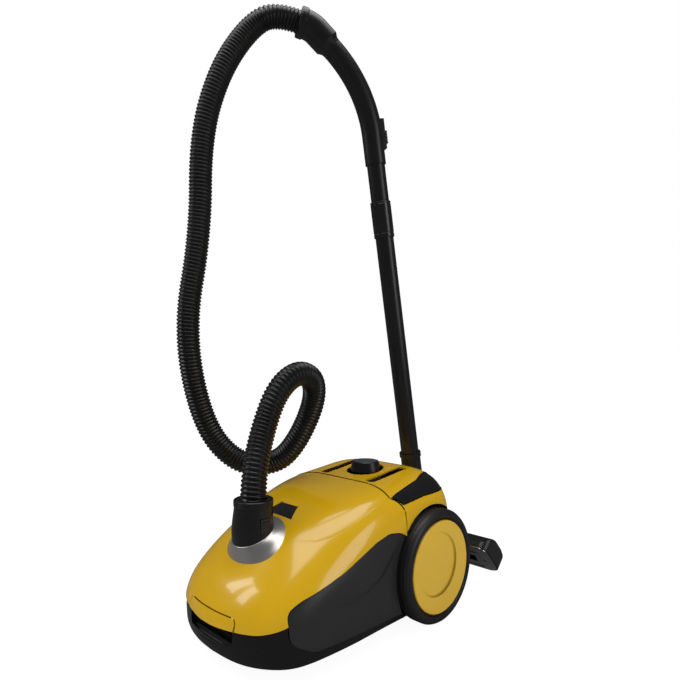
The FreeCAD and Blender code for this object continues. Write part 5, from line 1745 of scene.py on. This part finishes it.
@dataclass
class Studio:
    """The floor, the lamps, the backdrop light and the camera."""

    eye: Point = (650.0, -598.0, 407.0)
    forward: Point = (-0.7092, 0.7042, 0.0332)
    focus: float = 557.0
    picture: float = 680.0
    sensor: float = 36.0
    floor_half: float = 40.0
    floor_glow: float = 1.15
    floor_share: float = 0.82
    floor_mirrored: float = 0.16
    sky_seen: float = 1.0
    sky_soft: float = 0.58
    sky_mirrored: float = 0.08
    lamps: tuple[Softbox, ...] = (
        Softbox("overhead", (0.1, -0.1, 2.2), (0.0, -0.05, 0.2), 1.7, 1.3, 20.0),
        Softbox("front_left", (-1.60, -1.50, 1.75), (0.0, -0.1, 0.2), 0.42, 1.2, 7.0),
        Softbox("front_right", (-1.15, -1.90, 1.75), (0.0, -0.1, 0.2), 0.42, 1.2, 7.0),
        Softbox("side", (2.0, 0.5, 0.9), (0.0, 0.0, 0.25), 0.8, 1.2, 7.0),
    )

    def build(self) -> None:
        """Builds the studio."""
        self._camera()
        self._floor()
        self._world()
        for lamp in self.lamps:
            lamp.build()
        bpy.context.scene.view_settings.view_transform = "Standard"

    def _camera(self) -> None:
        """The camera at the photograph's viewpoint."""
        data = bpy.data.cameras.new("camera")
        data.sensor_width = self.sensor
        data.lens = self.focus / self.picture * self.sensor
        data.clip_end = 200.0
        camera = bpy.data.objects.new("camera", data)
        bpy.context.scene.collection.objects.link(camera)
        ahead = Vector(self.forward).normalized()
        right = ahead.cross(Vector((0, 0, 1))).normalized()
        up = right.cross(ahead)
        turned = Matrix((right, up, -ahead)).transposed().to_4x4()
        turned.translation = Vector((np.array(self.eye) + SHIFT) / 1000.0)
        camera.matrix_world = turned
        bpy.context.scene.camera = camera

    def _floor(self) -> None:
        """The plain pale floor, near white to the camera and grey in reflections."""
        mesh = bpy.data.meshes.new("floor")
        half, grey = self.floor_half, self.floor_mirrored
        corners = [(-half, -half, 0), (half, -half, 0), (half, half, 0), (-half, half, 0)]
        mesh.from_pydata(corners, [], [(0, 1, 2, 3)])
        material = FLOOR.material()
        tree = material.node_tree
        path = add_node(tree, "ShaderNodeLightPath")
        white = add_node(tree, "ShaderNodeEmission", {"Strength": self.floor_glow})
        dull = add_node(tree, "ShaderNodeBsdfDiffuse", {"Color": (grey, grey, grey, 1.0)})
        share = add_node(tree, "ShaderNodeMath")
        share.operation = "MULTIPLY"
        share.inputs[1].default_value = self.floor_share
        tree.links.new(path.outputs["Is Camera Ray"], share.inputs[0])
        plain = tree.nodes["Principled BSDF"].outputs["BSDF"]
        lit = mix_shaders(tree, path.outputs["Is Glossy Ray"], plain, dull.outputs["BSDF"])
        shown = mix_shaders(tree, share.outputs["Value"], lit, white.outputs["Emission"])
        tree.links.new(shown, tree.nodes["Material Output"].inputs["Surface"])
        mesh.materials.append(material)
        floor = bpy.data.objects.new("floor", mesh)
        bpy.context.scene.collection.objects.link(floor)

    def _world(self) -> None:
        """White behind the object, a softer grey in reflections."""
        world = bpy.data.worlds.new("studio")
        bpy.context.scene.world = world
        world.use_nodes = True
        tree = world.node_tree
        tree.nodes.clear()
        path = add_node(tree, "ShaderNodeLightPath")
        white, cool = (1.0, 1.0, 1.0, 1.0), (0.97, 0.98, 1.0, 1.0)
        seen, soft, mirrored = (
            add_node(tree, "ShaderNodeBackground", {"Color": colour, "Strength": power}).outputs["Background"]
            for colour, power in ((white, self.sky_seen), (cool, self.sky_soft), (cool, self.sky_mirrored))
        )
        lit = mix_shaders(tree, path.outputs["Is Glossy Ray"], soft, mirrored)
        shown = mix_shaders(tree, path.outputs["Is Camera Ray"], lit, seen)
        tree.links.new(shown, add_node(tree, "ShaderNodeOutputWorld").inputs["Surface"])


NODE_FINISHES: dict[str, Finish] = {
    "base_tub": TUB_BLACK,
    "inlet_seal": RUBBER,
    "bag_holder": GREY_PLASTIC,
    "deck_grille_right": SATIN_BLACK,
    "deck_grille_left": SATIN_BLACK,
    "wheel_hub_right": TUB_BLACK,
    "wheel_hub_left": TUB_BLACK,
    "wheel_axles": BRIGHT_METAL,
    "caster_fork": SATIN_BLACK,
    "caster_pin": BRIGHT_METAL,
    "caster_roller": GREY_PLASTIC,
    "speed_control": GREY_PLASTIC,
    "hose_connector": SATIN_BLACK,
    "connector_button_right": SATIN_BLACK,
    "connector_button_left": SATIN_BLACK,
    "neck_elbow": SATIN_BLACK,
    "park_bracket": TUB_BLACK,
    "hand_grip": SATIN_BLACK,
    "air_slider": PANEL_GREY,
    "nozzle_shell": SATIN_BLACK,
    "sole_plate": STEEL,
    "nozzle_pin": BRIGHT_METAL,
    "bristle_strips": BRISTLE,
    "brush_pedal": PANEL_GREY,
    "nozzle_rollers": GREY_PLASTIC,
    "exhaust_filter": FLEECE,
    "motor_filter": FLEECE,
    "motor_seal": RUBBER,
    "fan_cover": BRIGHT_METAL,
    "fan_rotor": GREY_PLASTIC,
    "motor_housing": BRIGHT_METAL,
    "motor_cradle": GREY_PLASTIC,
    "rear_grille": SATIN_BLACK,
    "cord_reel": GREY_PLASTIC,
    "reel_pin": BRIGHT_METAL,
    "cord_outlet": RUBBER,
    "hinge_arms": GREY_PLASTIC,
    "hinge_guides": GREY_PLASTIC,
    "dust_bag": PAPER,
}


def finish_nodes() -> None:
    """Gives every CAD node that still shows its own material."""
    for name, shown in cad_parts.items():
        finish = NODE_FINISHES.get(name, SATIN_BLACK)
        if name not in NODE_FINISHES:
            LOG.info("node %s has the plain satin finish", name)
        for place in range(len(shown.material_slots)):
            shown.material_slots[place].material = finish.material()
        if not shown.material_slots:
            LOG.info("node %s has no slot", name)
    LOG.info("finishes given to %d CAD nodes", len(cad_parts))


def main() -> None:
    """Builds the looks over the frame, piece by piece."""
    logging.basicConfig(level=logging.INFO)
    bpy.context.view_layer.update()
    Studio().build()
    finish_nodes()
    Hose().build()
    form = Envelope()
    LOG.info("body form has %d faces", len(form.full.faces))
    BodyShells(form).build()
    Inlet(form).build()
    DustBag().build()
    RearWheels().build()
    Dial().build()
    Wand().build()
    bpy.context.view_layer.update()


if __name__ == "__main__":
    main()
